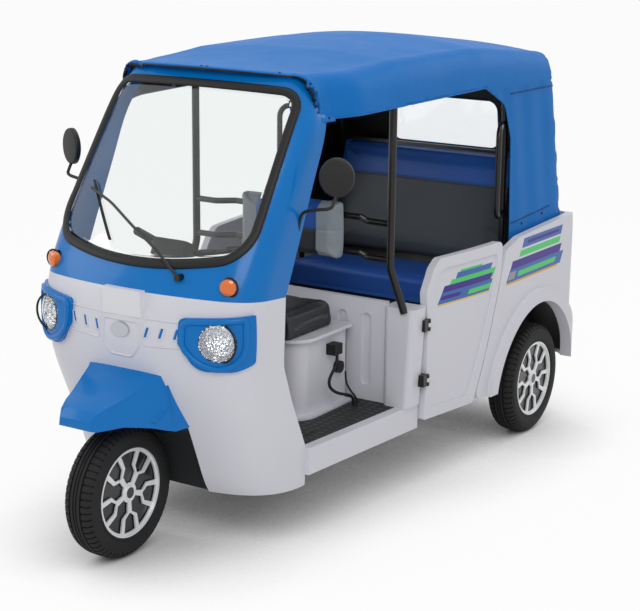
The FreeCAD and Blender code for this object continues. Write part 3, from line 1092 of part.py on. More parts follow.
# Move every sub-part to the frame's origin, check the shapes and write them
doc.recompute()
failed = []
for thing in doc.Objects:
    if "Invalid" in thing.State or "Error" in thing.State:
        failed.append("%s is %s" % (thing.Label, ", ".join(thing.State)))
for thing in nodes:
    shape = thing.Shape
    if shape.isNull() or not shape.isValid() or not shape.Solids:
        failed.append("%s has a bad shape" % thing.Label)
if failed:
    raise RuntimeError("; ".join(failed))
os.makedirs("parts", exist_ok=True)
for thing in nodes:
    thing.Shape.exportStep("parts/%s.step" % thing.Label)
whole = Part.makeCompound([thing.Shape for thing in nodes]).BoundBox
print("%d sub-parts, %.0f x %.0f x %.0f mm" % (len(nodes), whole.XLength, whole.YLength, whole.ZLength))
print("from (%.1f, %.1f, %.1f) to (%.1f, %.1f, %.1f)" % (whole.XMin, whole.YMin, whole.ZMin, whole.XMax, whole.YMax, whole.ZMax))
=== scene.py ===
# Looks of an electric auto rickshaw, in metres, facing -Y with its left side at +X.
import json
import math
import bmesh
import bpy
import numpy
from mathutils import Matrix, Vector
from mathutils.bvhtree import BVHTree

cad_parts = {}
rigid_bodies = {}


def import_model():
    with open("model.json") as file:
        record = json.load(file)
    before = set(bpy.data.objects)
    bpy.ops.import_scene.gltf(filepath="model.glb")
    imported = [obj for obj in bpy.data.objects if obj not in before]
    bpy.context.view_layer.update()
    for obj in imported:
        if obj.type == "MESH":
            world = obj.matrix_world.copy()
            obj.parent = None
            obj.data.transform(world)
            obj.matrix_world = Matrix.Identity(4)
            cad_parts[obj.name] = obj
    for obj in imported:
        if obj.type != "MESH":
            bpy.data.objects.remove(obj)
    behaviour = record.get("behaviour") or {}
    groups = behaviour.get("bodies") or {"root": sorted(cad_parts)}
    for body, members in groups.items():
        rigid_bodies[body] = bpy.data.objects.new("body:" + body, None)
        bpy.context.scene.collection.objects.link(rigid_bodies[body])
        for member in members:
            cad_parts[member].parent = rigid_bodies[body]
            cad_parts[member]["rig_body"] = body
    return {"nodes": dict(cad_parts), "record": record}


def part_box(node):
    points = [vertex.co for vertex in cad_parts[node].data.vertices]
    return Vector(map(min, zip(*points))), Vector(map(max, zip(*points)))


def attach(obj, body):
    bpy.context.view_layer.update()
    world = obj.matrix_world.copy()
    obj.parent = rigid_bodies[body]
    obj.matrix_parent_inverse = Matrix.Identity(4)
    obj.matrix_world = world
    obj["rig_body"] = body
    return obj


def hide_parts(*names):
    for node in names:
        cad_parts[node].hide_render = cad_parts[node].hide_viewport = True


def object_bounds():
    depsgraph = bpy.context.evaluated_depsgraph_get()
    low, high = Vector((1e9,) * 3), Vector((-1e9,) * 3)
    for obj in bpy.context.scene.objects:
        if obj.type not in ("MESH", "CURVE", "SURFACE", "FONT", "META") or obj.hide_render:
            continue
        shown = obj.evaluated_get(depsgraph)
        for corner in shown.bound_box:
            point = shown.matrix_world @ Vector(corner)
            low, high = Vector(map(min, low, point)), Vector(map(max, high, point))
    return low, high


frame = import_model()
cad_low, cad_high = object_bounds()
MM = 0.001
WELD = 0.05 * MM
REARWARD = Vector((0, 1, 0))
ACROSS = Vector((1, 0, 0))
LEFT_AND_RIGHT = (1, -1)


def middle_of(node):
    low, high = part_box(node)
    return (Vector(low) + Vector(high)) / 2


# Places along the vehicle are told in millimetres from the middle of the wheelbase
MIDDLE_Y = (middle_of("front_tyre").y + middle_of("rear_tyre_left").y) / 2


def at(x, y, z):
    return Vector((x * MM, y * MM + MIDDLE_Y, z * MM))


def hex_colour(text):
    """An sRGB hex value as the linear colour that a shader takes."""
    channels = [int(text[start:start + 2], 16) / 255 for start in (1, 3, 5)]
    return [c / 12.92 if c <= 0.04045 else ((c + 0.055) / 1.055) ** 2.4 for c in channels] + [1]


# Node materials
def add_node(tree, kind, inputs=None, output=0, **settings):
    """One shader node: its settings, then a value, a hex colour or a link for each input. Gives one output."""
    made = tree.nodes.new(kind)
    for name, value in settings.items():
        setattr(made, name, value)
    for socket, value in (inputs or {}).items():
        feed(tree, made.inputs[socket], value)
    return made.outputs[output]


def feed(tree, socket, value):
    """A link where the value is a node's output, and otherwise the value itself."""
    if isinstance(value, bpy.types.NodeSocket):
        tree.links.new(value, socket)
    else:
        socket.default_value = hex_colour(value) if isinstance(value, str) else value


def new_finish(name, **sockets):
    """A material with its shader, its place in object coordinates and the values that are even all over."""
    made = bpy.data.materials.new(name)
    made.use_nodes = True
    tree = made.node_tree
    shader = tree.nodes["Principled BSDF"]
    for socket, value in sockets.items():
        feed(tree, shader.inputs[socket.replace("_", " ")], value)
    return made, tree, shader, add_node(tree, "ShaderNodeTexCoord", output="Object")


def drifting(tree, place, size_mm, first, second):
    """A slow change between two tones, in patches of a real size."""
    tone = add_node(tree, "ShaderNodeTexNoise", {"Vector": place, "Scale": 1000 / size_mm, "Detail": 2.0})
    return add_node(tree, "ShaderNodeMix", {0: tone, 6: first, 7: second}, 2, data_type="RGBA")


def grained(tree, shader, place, size_mm, depth_mm, smooth, rough):
    """Fine relief with a real grain size, and a gloss that varies with it."""
    fine = add_node(tree, "ShaderNodeTexNoise", {"Vector": place, "Scale": 1000 / size_mm, "Detail": 3.0})
    feed(tree, shader.inputs["Roughness"],
         add_node(tree, "ShaderNodeMapRange", {"Value": fine, "To Min": smooth, "To Max": rough}))
    feed(tree, shader.inputs["Normal"],
         add_node(tree, "ShaderNodeBump", {"Height": fine, "Distance": depth_mm * MM}))


def inside(tree, limits):
    """One where every value lies between its two limits, and nothing elsewhere."""
    mask = 1.0
    for value, low, high in limits:
        part = add_node(tree, "ShaderNodeMath", {0: value, 1: (low + high) / 2, 2: (high - low) / 2},
                        operation="COMPARE")
        mask = add_node(tree, "ShaderNodeMath", {0: part, 1: mask}, operation="MULTIPLY")
    return mask


def moulded(name, colour, shade, roughness, grain_mm, grain_depth_mm, coat=0.0, gloss=0.5):
    """A moulded or painted skin: faint tone drift, fine grain, and its own gloss."""
    made, tree, shader, place = new_finish(name, Coat_Weight=coat, Coat_Roughness=0.06, Specular_IOR_Level=gloss)
    feed(tree, shader.inputs["Base Color"], drifting(tree, place, 420, colour, shade))
    grained(tree, shader, place, grain_mm, grain_depth_mm, roughness * 0.85, roughness * 1.15)
    return made


def clear(name, colour, roughness, ripple_mm, ripple_depth_mm):
    """Glass or clear plastic, with the slight ripple that rolling or moulding leaves."""
    made, tree, shader, place = new_finish(name, Base_Color=colour, Transmission_Weight=1.0, IOR=1.45)
    grained(tree, shader, place, ripple_mm, ripple_depth_mm, roughness, roughness * 1.5)
    return made


def metal(name, colour, roughness, grain_mm):
    """Polished or plated metal, whose faint grain breaks up what it mirrors."""
    made, tree, shader, place = new_finish(name, Base_Color=colour, Metallic=1.0)
    grained(tree, shader, place, grain_mm, 0.01, roughness * 0.8, roughness * 1.2)
    return made


# Decal bars: start along the vehicle, length, low and high edge, and colour, in the order they overlap
DECAL_LEAN = 0.75
DOOR_BARS = [(230, 346, 714, 721, "#E0C860"), (230, 346, 721, 764, "#3E68B0"), (300, 310, 772, 806, "#4FD070"),
             (262, 330, 764, 788, "#3A1C8C"), (424, 160, 730, 748, "#4FD070"), (248, 124, 736, 750, "#3A1C8C"),
             (352, 246, 806, 828, "#3E68B0"), (384, 150, 828, 836, "#4FD070")]
QUARTER_BARS = [(702, 470, 714, 722, "#E8B030"), (702, 500, 722, 772, "#3E68B0"), (742, 460, 772, 804, "#3A1C8C"),
                (800, 350, 736, 756, "#4FD070"), (824, 380, 812, 836, "#4FD070"), (856, 370, 844, 880, "#3E68B0"),
                (906, 300, 856, 868, "#3A1C8C"), (716, 56, 732, 762, "#9A9AA2")]


def decalled(name, base, bars):
    """Vinyl stripes on a moulded panel: flat colour bars with crisp, slanted ends under the panel's own gloss.
    They show only where the panel faces away from the vehicle's middle."""
    made = base.copy()
    made.name = name
    tree = made.node_tree
    shader = tree.nodes["Principled BSDF"]
    place = add_node(tree, "ShaderNodeTexCoord", output="Object")
    across, along, up = [add_node(tree, "ShaderNodeSeparateXYZ", {"Vector": place}, axis) for axis in "XYZ"]
    way_out = add_node(tree, "ShaderNodeTexCoord", output="Normal")
    facing = add_node(tree, "ShaderNodeSeparateXYZ", {"Vector": way_out}, "X")
    outward = add_node(tree, "ShaderNodeMath", {0: across, 1: facing}, operation="MULTIPLY")
    outer_side = add_node(tree, "ShaderNodeMath", {0: outward, 1: 0.2}, operation="GREATER_THAN")
    slid = add_node(tree, "ShaderNodeMath", {0: up, 1: -DECAL_LEAN, 2: along}, operation="MULTIPLY_ADD")
    colour = shader.inputs["Base Color"].links[0].from_socket
    for start, length, low, high, ink in bars:
        first = start * MM + MIDDLE_Y - low * MM * DECAL_LEAN
        mask = inside(tree, [(slid, first, first + length * MM), (up, low * MM, high * MM), (outer_side, 0.5, 1.5)])
        colour = add_node(tree, "ShaderNodeMix", {0: mask, 6: colour, 7: ink}, 2, data_type="RGBA")
    feed(tree, shader.inputs["Base Color"], colour)
    return made


def vinyl(name, base, zones=()):
    """Leatherette over foam: fine pebble grain and a soft sheen, with panels of other colours sewn in.
    The grain is drawn at 4 mm, coarser than the real 1 mm, so that it shows."""
    made, tree, shader, place = new_finish(name, Specular_IOR_Level=0.35)
    colour = drifting(tree, place, 160, base, base)
    for limits, ink in zones:
        mask = inside(tree, [(add_node(tree, "ShaderNodeSeparateXYZ", {"Vector": place}, axis), low * MM, high * MM)
                             for axis, low, high in limits])
        colour = add_node(tree, "ShaderNodeMix", {0: mask, 6: colour, 7: ink}, 2, data_type="RGBA")
    feed(tree, shader.inputs["Base Color"], colour)
    worn = add_node(tree, "ShaderNodeTexNoise", {"Vector": place, "Scale": 1000 / 90, "Detail": 2.0})
    feed(tree, shader.inputs["Roughness"],
         add_node(tree, "ShaderNodeMapRange", {"Value": worn, "To Min": 0.38, "To Max": 0.52}))
    pebbles = add_node(tree, "ShaderNodeTexVoronoi", {"Vector": place, "Scale": 1000 / 4.0}, "Distance")
    feed(tree, shader.inputs["Normal"],
         add_node(tree, "ShaderNodeBump", {"Height": pebbles, "Distance": 0.12 * MM}))
    return made


def coated_cloth(name, colour, shade):
    """PVC-coated cloth: the weave shows faintly through the coating, with soft creases.
    The weave is drawn at 5 mm, coarser than the real 1 mm, so that it shows."""
    made, tree, shader, place = new_finish(name, Specular_IOR_Level=0.12)
    feed(tree, shader.inputs["Base Color"], drifting(tree, place, 300, colour, shade))
    threads = [add_node(tree, "ShaderNodeTexWave", {"Vector": place, "Scale": 1000 / 5 / math.tau, "Distortion": 0.4},
                        "Fac", wave_type="BANDS", bands_direction=axis) for axis in "YZ"]
    weave = add_node(tree, "ShaderNodeMath", {0: threads[0], 1: threads[1]}, operation="MAXIMUM")
    creases = add_node(tree, "ShaderNodeTexNoise", {"Vector": place, "Scale": 1000 / 130, "Detail": 2.0})
    fine = add_node(tree, "ShaderNodeBump", {"Height": weave, "Distance": 0.08 * MM})
    feed(tree, shader.inputs["Normal"],
         add_node(tree, "ShaderNodeBump", {"Height": creases, "Distance": 2.2 * MM, "Normal": fine}))
    feed(tree, shader.inputs["Roughness"],
         add_node(tree, "ShaderNodeMapRange", {"Value": creases, "To Min": 0.42, "To Max": 0.58}))
    return made


def studded_rubber(name, colour, shade, pitch_mm):
    """A moulded floor mat with rows of low round studs that catch the light."""
    made, tree, shader, place = new_finish(name)
    studs = add_node(tree, "ShaderNodeTexVoronoi", {"Vector": place, "Scale": 1000 / pitch_mm, "Randomness": 0.0},
                     "Distance")
    top = add_node(tree, "ShaderNodeMapRange",
                   {"Value": studs, "From Min": 0.3, "From Max": 0.36, "To Min": 1.0, "To Max": 0.0})
    feed(tree, shader.inputs["Normal"], add_node(tree, "ShaderNodeBump", {"Height": top, "Distance": 1.2 * MM}))
    feed(tree, shader.inputs["Base Color"], drifting(tree, place, 200, colour, shade))
    feed(tree, shader.inputs["Roughness"],
         add_node(tree, "ShaderNodeMapRange", {"Value": top, "To Min": 0.7, "To Max": 0.45}))
    return made


def faceted_reflector(name, colour, flute_mm):
    """A metallised lamp bowl with facets that break the light into sparks."""
    made, tree, shader, place = new_finish(name, Base_Color=colour, Metallic=1.0, Roughness=0.08)
    flutes = add_node(tree, "ShaderNodeTexVoronoi", {"Vector": place, "Scale": 1000 / flute_mm, "Randomness": 0.6},
                      "Distance")
    feed(tree, shader.inputs["Normal"], add_node(tree, "ShaderNodeBump", {"Height": flutes, "Distance": 6 * MM}))
    return made


# Where a wheel's raised cover starts, measured from its middle, and its hub's black recess
TRIM_FRONT = 42 * MM
HUB_RECESS = 20 * MM


def two_tone_wheel(node, side):
    """Painted alloy: the raised spokes and the outer lip are silver, and the dish and the hub's recess gloss black."""
    made, tree, shader, place = new_finish(node + "_alloy_paint", Coat_Weight=0.4, Coat_Roughness=0.08)
    moved = add_node(tree, "ShaderNodeMapping", {"Vector": place, "Location": tuple(-middle_of(node))})
    axial, along, up = [add_node(tree, "ShaderNodeSeparateXYZ", {"Vector": moved}, axis) for axis in "XYZ"]
    outwards = add_node(tree, "ShaderNodeMath", {0: axial, 1: side}, operation="MULTIPLY")
    raised = add_node(tree, "ShaderNodeMath", {0: outwards, 1: TRIM_FRONT}, operation="GREATER_THAN")
    flat = add_node(tree, "ShaderNodeCombineXYZ", {"Y": along, "Z": up})
    radius = add_node(tree, "ShaderNodeVectorMath", {0: flat}, "Value", operation="LENGTH")
    past_hub = add_node(tree, "ShaderNodeMath", {0: radius, 1: HUB_RECESS}, operation="GREATER_THAN")
    silver = add_node(tree, "ShaderNodeMath", {0: raised, 1: past_hub}, operation="MULTIPLY")
    paint = drifting(tree, place, 60, "#F0F2F4", "#E4E6E8")
    feed(tree, shader.inputs["Base Color"],
         add_node(tree, "ShaderNodeMix", {0: silver, 6: "#0C0C0D", 7: paint}, 2, data_type="RGBA"))
    feed(tree, shader.inputs["Metallic"],
         add_node(tree, "ShaderNodeMath", {0: silver, 1: 0.2}, operation="MULTIPLY"))
    flakes = add_node(tree, "ShaderNodeTexNoise", {"Vector": place, "Scale": 1000 / 1.5})
    feed(tree, shader.inputs["Roughness"],
         add_node(tree, "ShaderNodeMapRange", {"Value": flakes, "To Min": 0.24, "To Max": 0.36}))
    return made


# What each real material gives the eye is said beside it
SLOTS = {
    # Gloss plastic panels: an even skin whose broad highlights stay soft
    "shell_blue": moulded("gloss_abs_blue", "#0078C8", "#0070BE", 0.26, 7.0, 0.012, 0.15, 0.16),
    "shell_white": moulded("moulded_abs_white", "#DEDEE5", "#D7D7DF", 0.4, 3.0, 0.02, 0.1, 0.35),
    # Rubber, grained plastic and coated steel: near black, told apart by their gloss
    "seal_rubber": moulded("epdm_rubber", "#0E0E10", "#151517", 0.5, 1.5, 0.05, gloss=0.3),
    "grey_plastic": moulded("polypropylene_grey", "#2C2E30", "#242628", 0.6, 1.2, 0.05, gloss=0.3),
    "black_plastic": moulded("grained_abs_black", "#131315", "#19191B", 0.5, 1.2, 0.05, gloss=0.35),
    "black_steel": moulded("powder_coated_steel", "#0E0E10", "#141416", 0.35, 1.0, 0.03, 0.15, 0.35),
    "grip_rubber": moulded("moulded_grip_rubber", "#141414", "#1C1C1C", 0.7, 1.0, 0.1, gloss=0.3),
    "tyre": moulded("tyre_rubber", "#171719", "#1F1F21", 0.7, 1.5, 0.1, gloss=0.3),
    "battery_case": moulded("battery_case_plastic", "#1E2024", "#181A1E", 0.6, 1.5, 0.1),
    # Cast iron: dull paint over a coarse, sandy skin
    "axle_iron": moulded("painted_cast_iron", "#222326", "#2C2D30", 0.6, 1.5, 0.15),
    "floor_black": studded_rubber("rubber_floor_covering", "#141517", "#26282B", 34),
    # Glass, lenses and film: clear, with a slight ripple in what shows through
    "clear_glass": clear("laminated_glass", "#F2F6F5", 0.015, 300, 0.05),
    "lamp_glass": clear("polycarbonate_lens", "#FFFFFF", 0.02, 14, 0.3),
    "clear_film": clear("clear_pvc_film", "#F4F8FA", 0.03, 70, 0.6),
    # Coloured lenses: deep colour under a hard gloss
    "amber_lens": moulded("acrylic_amber", "#F07A18", "#E86A10", 0.15, 5.0, 0.05, 0.5),
    "red_lens": moulded("acrylic_red", "#B81414", "#A81010", 0.2, 5.0, 0.02, 0.5),
    # Metal and painted metal: bright, with a fine grain
    "lamp_chrome": faceted_reflector("vacuum_metallised_reflector", "#DDE0E4", 11),
    "badge_silver": metal("chromed_badge", "#B8BCC0", 0.2, 10),
    "plate_white": moulded("painted_aluminium_plate", "#E8E8EC", "#E2E2E6", 0.4, 4.0, 0.01),
    "wheel_silver": moulded("silver_wheel_paint", "#D2D4D8", "#C6C8CC", 0.3, 2.0, 0.01, 0.4),
    # Covers: pebbled leatherette on the seats, coated cloth overhead
    "seat_grey": vinyl("vinyl_leatherette_charcoal", "#3A4148"),
    "seat_blue": vinyl("vinyl_leatherette_navy", "#1E3F88"),
    "canopy_fabric": coated_cloth("pvc_coated_canopy_cloth", "#1A76C6", "#1770BE"),
}
# Silvered glass: a clean mirror behind a flat front
MIRROR_SILVER = metal("silvered_mirror_glass", "#D4D8DA", 0.03, 40)
# Sewing thread: a dull dark line sunk in the cloth
SEAM_THREAD = moulded("bonded_polyester_thread", "#0C3F7C", "#0A3A74", 0.6, 1.0, 0.1, gloss=0.2)

for part in frame["record"]["subparts"]:
    node = frame["nodes"][part["node"]]
    node.data.materials.clear()
    node.data.materials.append(SLOTS[part["material_slot"]])
for panel, bars in (("door_left", DOOR_BARS), ("door_right", DOOR_BARS), ("rear_quarter_left", QUARTER_BARS),
                    ("rear_quarter_right", QUARTER_BARS)):
    frame["nodes"][panel].data.materials[0] = decalled(panel + "_with_stripes", SLOTS["shell_white"], bars)
for rim, side in (("front_rim", 1.0), ("rear_rim_left", 1.0), ("rear_rim_right", -1.0)):
    frame["nodes"][rim].data.materials[0] = two_tone_wheel(rim, side)
frame["nodes"]["floor_mat"].data.materials[0] = SLOTS["floor_black"]


# Shapes and pieces
def linked(name, data):
    """An object of the scene that holds some data."""
    made = bpy.data.objects.new(name, data)
    bpy.context.scene.collection.objects.link(made)
    return made


def shape_of(mesh):
    shape = bmesh.new()
    shape.from_mesh(mesh)
    return shape


def mesh_of(name, shape):
    """A mesh with what a shape holds. The shape is freed."""
    mesh = bpy.data.meshes.new(name)
    shape.to_mesh(mesh)
    shape.free()
    return mesh


def finished(piece):
    """The mesh that a piece's curve or modifiers make."""
    seen = bpy.context.evaluated_depsgraph_get()
    seen.update()
    return bpy.data.meshes.new_from_object(piece.evaluated_get(seen))


def bake_modifiers(piece):
    """Put what the modifiers make into the mesh, and take them off."""
    mesh = finished(piece)
    piece.modifiers.clear()
    piece.data = mesh


def smooth_by_angle(piece, crease):
    """Smooth shading, but for edges that turn by more than some degrees."""
    piece.data.shade_smooth()
    limit = math.radians(crease)
    shape = shape_of(piece.data)
    for edge in shape.edges:
        edge.smooth = not (len(edge.link_faces) == 2 and edge.calc_face_angle(0.0) > limit)
    shape.to_mesh(piece.data)
    shape.free()


def add_piece(name, shape, slot, body="root", material=None, replaced=(), crease=180):
    """A finished mesh as a piece that rides on a body."""
    piece = linked(name, mesh_of(name, shape))
    piece.data.materials.append(material or SLOTS[slot])
    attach(piece, body)
    if replaced:
        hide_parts(*replaced)
    smooth_by_angle(piece, crease)
    return piece


def skin_of(*names):
    """The outside of some frame pieces, for rays to meet."""
    shape = bmesh.new()
    for name in names:
        shape.from_mesh(frame["nodes"][name].data)
    tree = BVHTree.FromBMesh(shape)
    shape.free()
    return tree


SHELL = skin_of("cowl_upper", "cowl_lower", "windscreen_glass")
BEZEL_SKIN = skin_of("cowl_upper", "cowl_lower", "headlamp_bezels")


def on_skin(skin, x, z, off=0.0):
    """Where a level ray from ahead meets a skin, moved out by off, and the way out there."""
    hit, normal, face, distance = skin.ray_cast(Vector((x, cad_low[1] - 0.1, z)), REARWARD)
    if hit is None:
        return None
    return hit + normal * off, normal


def cut_in_cells(shape, cell):
    """Cut every face along planes one cell apart, so that it can bend."""
    for axis in range(3):
        values = [vert.co[axis] for vert in shape.verts]
        normal = Vector([index == axis for index in range(3)])
        for count in range(1, int((max(values) - min(values)) / cell) + 1):
            bmesh.ops.bisect_plane(shape, geom=shape.verts[:] + shape.edges[:] + shape.faces[:],
                                   plane_co=normal * (min(values) + count * cell), plane_no=normal)


def flat_outline(corners, rounds, cell_mm):
    """A rounded outline seen from ahead, cut along its cells, as a flat sheet."""
    shape = bmesh.new()
    verts = [shape.verts.new((x * MM, 0, z * MM)) for x, z in corners]
    shape.faces.new(verts)
    for vert, turn in zip(verts, rounds):
        bmesh.ops.bevel(shape, geom=[vert], offset=turn * MM, offset_type="OFFSET", affect="VERTICES", segments=7,
                        profile=0.5, material=-1)
    cut_in_cells(shape, cell_mm * MM)
    bmesh.ops.remove_doubles(shape, verts=shape.verts, dist=10 * WELD)
    return shape


def open_edges(shape):
    """The vertices along each open edge of a sheet, in order, and in the same order each run."""
    left = dict.fromkeys(edge for edge in shape.edges if edge.is_boundary)
    loops = []
    while left:
        edge = next(iter(left))
        del left[edge]
        here, start = edge.verts
        loop = [start]
        while here is not start:
            loop.append(here)
            edge = next((one for one in here.link_edges if one in left), None)
            if edge is None:
                break
            del left[edge]
            here = edge.other_vert(here)
        loops.append(loop)
    return loops


def edges_at(verts):
    """The edges at some vertices, each once, and in the same order each run."""
    return list(dict.fromkeys(edge for vert in verts for edge in vert.link_edges))


def laid(skin, shape, off_mm):
    """Lay a flat outline on a skin. Gives its edge as places with the way out."""
    normals = {}
    for vert in shape.verts:
        found = on_skin(skin, vert.co.x, vert.co.z, off_mm * MM)
        if found:
            vert.co, normals[vert] = found[0], found[1]
    return [(vert.co.copy(), normals.get(vert, -REARWARD), 1.0) for vert in open_edges(shape)[0]]


def thinned(stations, gap):
    """Fewer places, at least a gap apart."""
    kept = [stations[0]]
    for station in stations[1:]:
        if (station[0] - kept[-1][0]).length >= gap:
            kept.append(station)
    return kept


def swept(shape, stations, half_across, half_thick, closed=False, sides=6):
    """A rolled strip: oval rings along places with the way out, bridged one after another."""
    rings = []
    count = len(stations)
    for number, (place, out, swell) in enumerate(stations):
        before = stations[number - 1][0] if number or closed else place
        after = stations[(number + 1) % count][0] if number + 1 < count or closed else place
        along = (after - before).normalized()
        out = (out - along * out.dot(along)).normalized()
        axes = Matrix((along.cross(out) * half_across, out * half_thick * swell, along)).transposed().to_4x4()
        made = bmesh.ops.create_circle(shape, cap_ends=not closed and number in (0, count - 1), segments=sides,
                                       radius=1, matrix=Matrix.Translation(place) @ axes)
        rings.append(edges_at(made["verts"]))
    for first, second in zip(rings, rings[1:] + rings[:1] if closed else rings[1:]):
        bmesh.ops.bridge_loops(shape, edges=first + second)
    bmesh.ops.recalc_face_normals(shape, faces=shape.faces)


def rimmed(shape, skin, corners, rounds, cell_mm, off_mm, gap_mm, half_across, half_thick, sides=6):
    """A rolled strip round an outline that is laid on a skin."""
    patch = flat_outline(corners, rounds, cell_mm)
    swept(shape, thinned(laid(skin, patch, off_mm), gap_mm * MM), half_across, half_thick, True, sides)
    patch.free()


def mirrored(shape):
    """The same shape again on the vehicle's other side."""
    bmesh.ops.mirror(shape, geom=shape.verts[:] + shape.edges[:] + shape.faces[:], axis="X", merge_dist=-1)
    bmesh.ops.recalc_face_normals(shape, faces=shape.faces)


def bar_along(name, runs, radius, kind, round_steps, steps=8, closed=False):
    """A round bar as a curve, with one spline along each run of places."""
    data = bpy.data.curves.new(name, "CURVE")
    data.dimensions = "3D"
    data.bevel_depth = radius
    data.bevel_resolution = round_steps
    data.use_fill_caps = True
    for places in runs:
        run = data.splines.new(kind)
        run.points.add(len(places) - 1)
        for point, place in zip(run.points, places):
            point.co = (*place, 1)
        run.use_cyclic_u = closed
        run.order_u = 3
        run.use_endpoint_u = True
        run.resolution_u = steps
    return data


def bar_piece(name, data, slot, replaced=()):
    """A bar's mesh as a piece."""
    line = linked(name + "_line", data)
    shape = shape_of(finished(line))
    bpy.data.objects.remove(line)
    return add_piece(name, shape, slot, replaced=replaced)


# Roof crown: the real one is flatter than the frame's
CROWN_START, CROWN_SHARE = 1.6, 0.84


def crowned(shape):
    for vert in shape.verts:
        if vert.co.z > CROWN_START:
            vert.co.z = CROWN_START + (vert.co.z - CROWN_START) * CROWN_SHARE


# Windscreen: a larger opening than the frame's, with its pane, its rubber and the wiper's blade
SCREEN_CORNERS = [(-414, 1084), (414, 1084), (392, 1600), (-392, 1600)]
SCREEN_ROUNDS = [90, 90, 60, 60]
SCREEN_MIDDLE_Z = 1300
SCREEN_DIP, SCREEN_RISE = 44 * MM, 12 * MM
SCREEN_CELL = 16
PANE_INSET, OPENING_INSET = 8, 4
PANE_THICK, PANE_SUNK = 4 * MM, 3 * MM
RUBBER_HALF_WIDE, RUBBER_HALF_THICK, RUBBER_GAP = 17 * MM, 8 * MM, 9 * MM
OPENING_FRONT_Y, OPENING_BACK_Y = -1150, -380
# The curve of the glass is fitted to rays over this field, and each turn drops those that miss by more
FIT_X, FIT_Z = range(-400, 401, 20), range(1050, 1611, 20)
FIT_BACK_Y = -480
FIT_LIMITS = [60 * MM, 30 * MM, 15 * MM, 12 * MM]
FIT_TRUST = 14 * MM
WIPER_TIP, WIPER_HEEL = (-312, 1262), (-118, 1096)
WIPER_STEPS = 24


def screen_outline(inset_mm=0):
    corners = [(x - math.copysign(inset_mm, x), z + (inset_mm if z < SCREEN_MIDDLE_Z else -inset_mm))
               for x, z in SCREEN_CORNERS]
    shape = flat_outline(corners, [turn - inset_mm for turn in SCREEN_ROUNDS], SCREEN_CELL)
    low, high = corners[0][1] * MM, corners[2][1] * MM
    for vert in shape.verts:
        share = (vert.co.z - low) / (high - low)
        bow = 1 - (vert.co.x / (corners[1][0] * MM)) ** 2
        vert.co.z += bow * (SCREEN_RISE * share - SCREEN_DIP * (1 - share))
    return shape


def pane_curve():
    """The smooth curve of the glass, fitted to the shell round it: gives how far ahead it is at any place."""
    def terms(x, z):
        lift = z - SCREEN_MIDDLE_Z * MM
        return [1, lift, lift ** 2, x ** 2, x ** 2 * lift, x ** 4, x ** 4 * lift, x ** 2 * lift ** 2]

    rows, reach = [], []
    for x in FIT_X:
        for z in FIT_Z:
            found = on_skin(SHELL, x * MM, z * MM)
            if found and found[0].y < at(0, FIT_BACK_Y, 0).y:
                rows.append(terms(x * MM, z * MM))
                reach.append(found[0].y)
    rows, reach = numpy.array(rows), numpy.array(reach)
    for limit in FIT_LIMITS:
        weights = numpy.linalg.lstsq(rows, reach, rcond=None)[0]
        near = abs(rows @ weights - reach) < limit
        rows, reach = rows[near], reach[near]
    return lambda x, z: float(numpy.dot(terms(x, z), weights))


def windscreen():
    curve = pane_curve()
    pane = screen_outline(PANE_INSET)
    for vert in pane.verts:
        vert.co.y = curve(vert.co.x, vert.co.z) + PANE_SUNK
    bmesh.ops.recalc_face_normals(pane, faces=pane.faces)
    bmesh.ops.solidify(pane, geom=pane.faces[:], thickness=PANE_THICK)
    add_piece("windscreen_pane", pane, "clear_glass", replaced=("windscreen_glass",))

    line = []
    for number in range(WIPER_STEPS + 1):
        x, z = [(tip + (heel - tip) * number / WIPER_STEPS) * MM for tip, heel in zip(WIPER_TIP, WIPER_HEEL)]
        line.append((Vector((x, curve(x, z) - 9 * MM, z)), -REARWARD, 1.0))
    blade = bmesh.new()
    swept(blade, line, half_across=3 * MM, half_thick=7 * MM, sides=8)
    add_piece("wiper_blade", blade, "seal_rubber")

    edge = screen_outline()
    stations = []
    for vert in open_edges(edge)[0]:
        x, z = vert.co.x, vert.co.z
        ahead = curve(x, z)
        slope = Vector(((curve(x + MM, z) - curve(x - MM, z)) / (2 * MM), -1,
                        (curve(x, z + MM) - curve(x, z - MM)) / (2 * MM)))
        found = on_skin(SHELL, x, z)
        if found and abs(found[0].y - ahead) < FIT_TRUST:
            ahead = found[0].y
        stations.append((Vector((x, ahead - 1 * MM, z)), slope.normalized(), 1.0))
    edge.free()
    rubber = bmesh.new()
    swept(rubber, thinned(stations, RUBBER_GAP), RUBBER_HALF_WIDE, RUBBER_HALF_THICK, closed=True, sides=12)
    add_piece("windscreen_rubber", rubber, "seal_rubber", replaced=("windscreen_seal",))


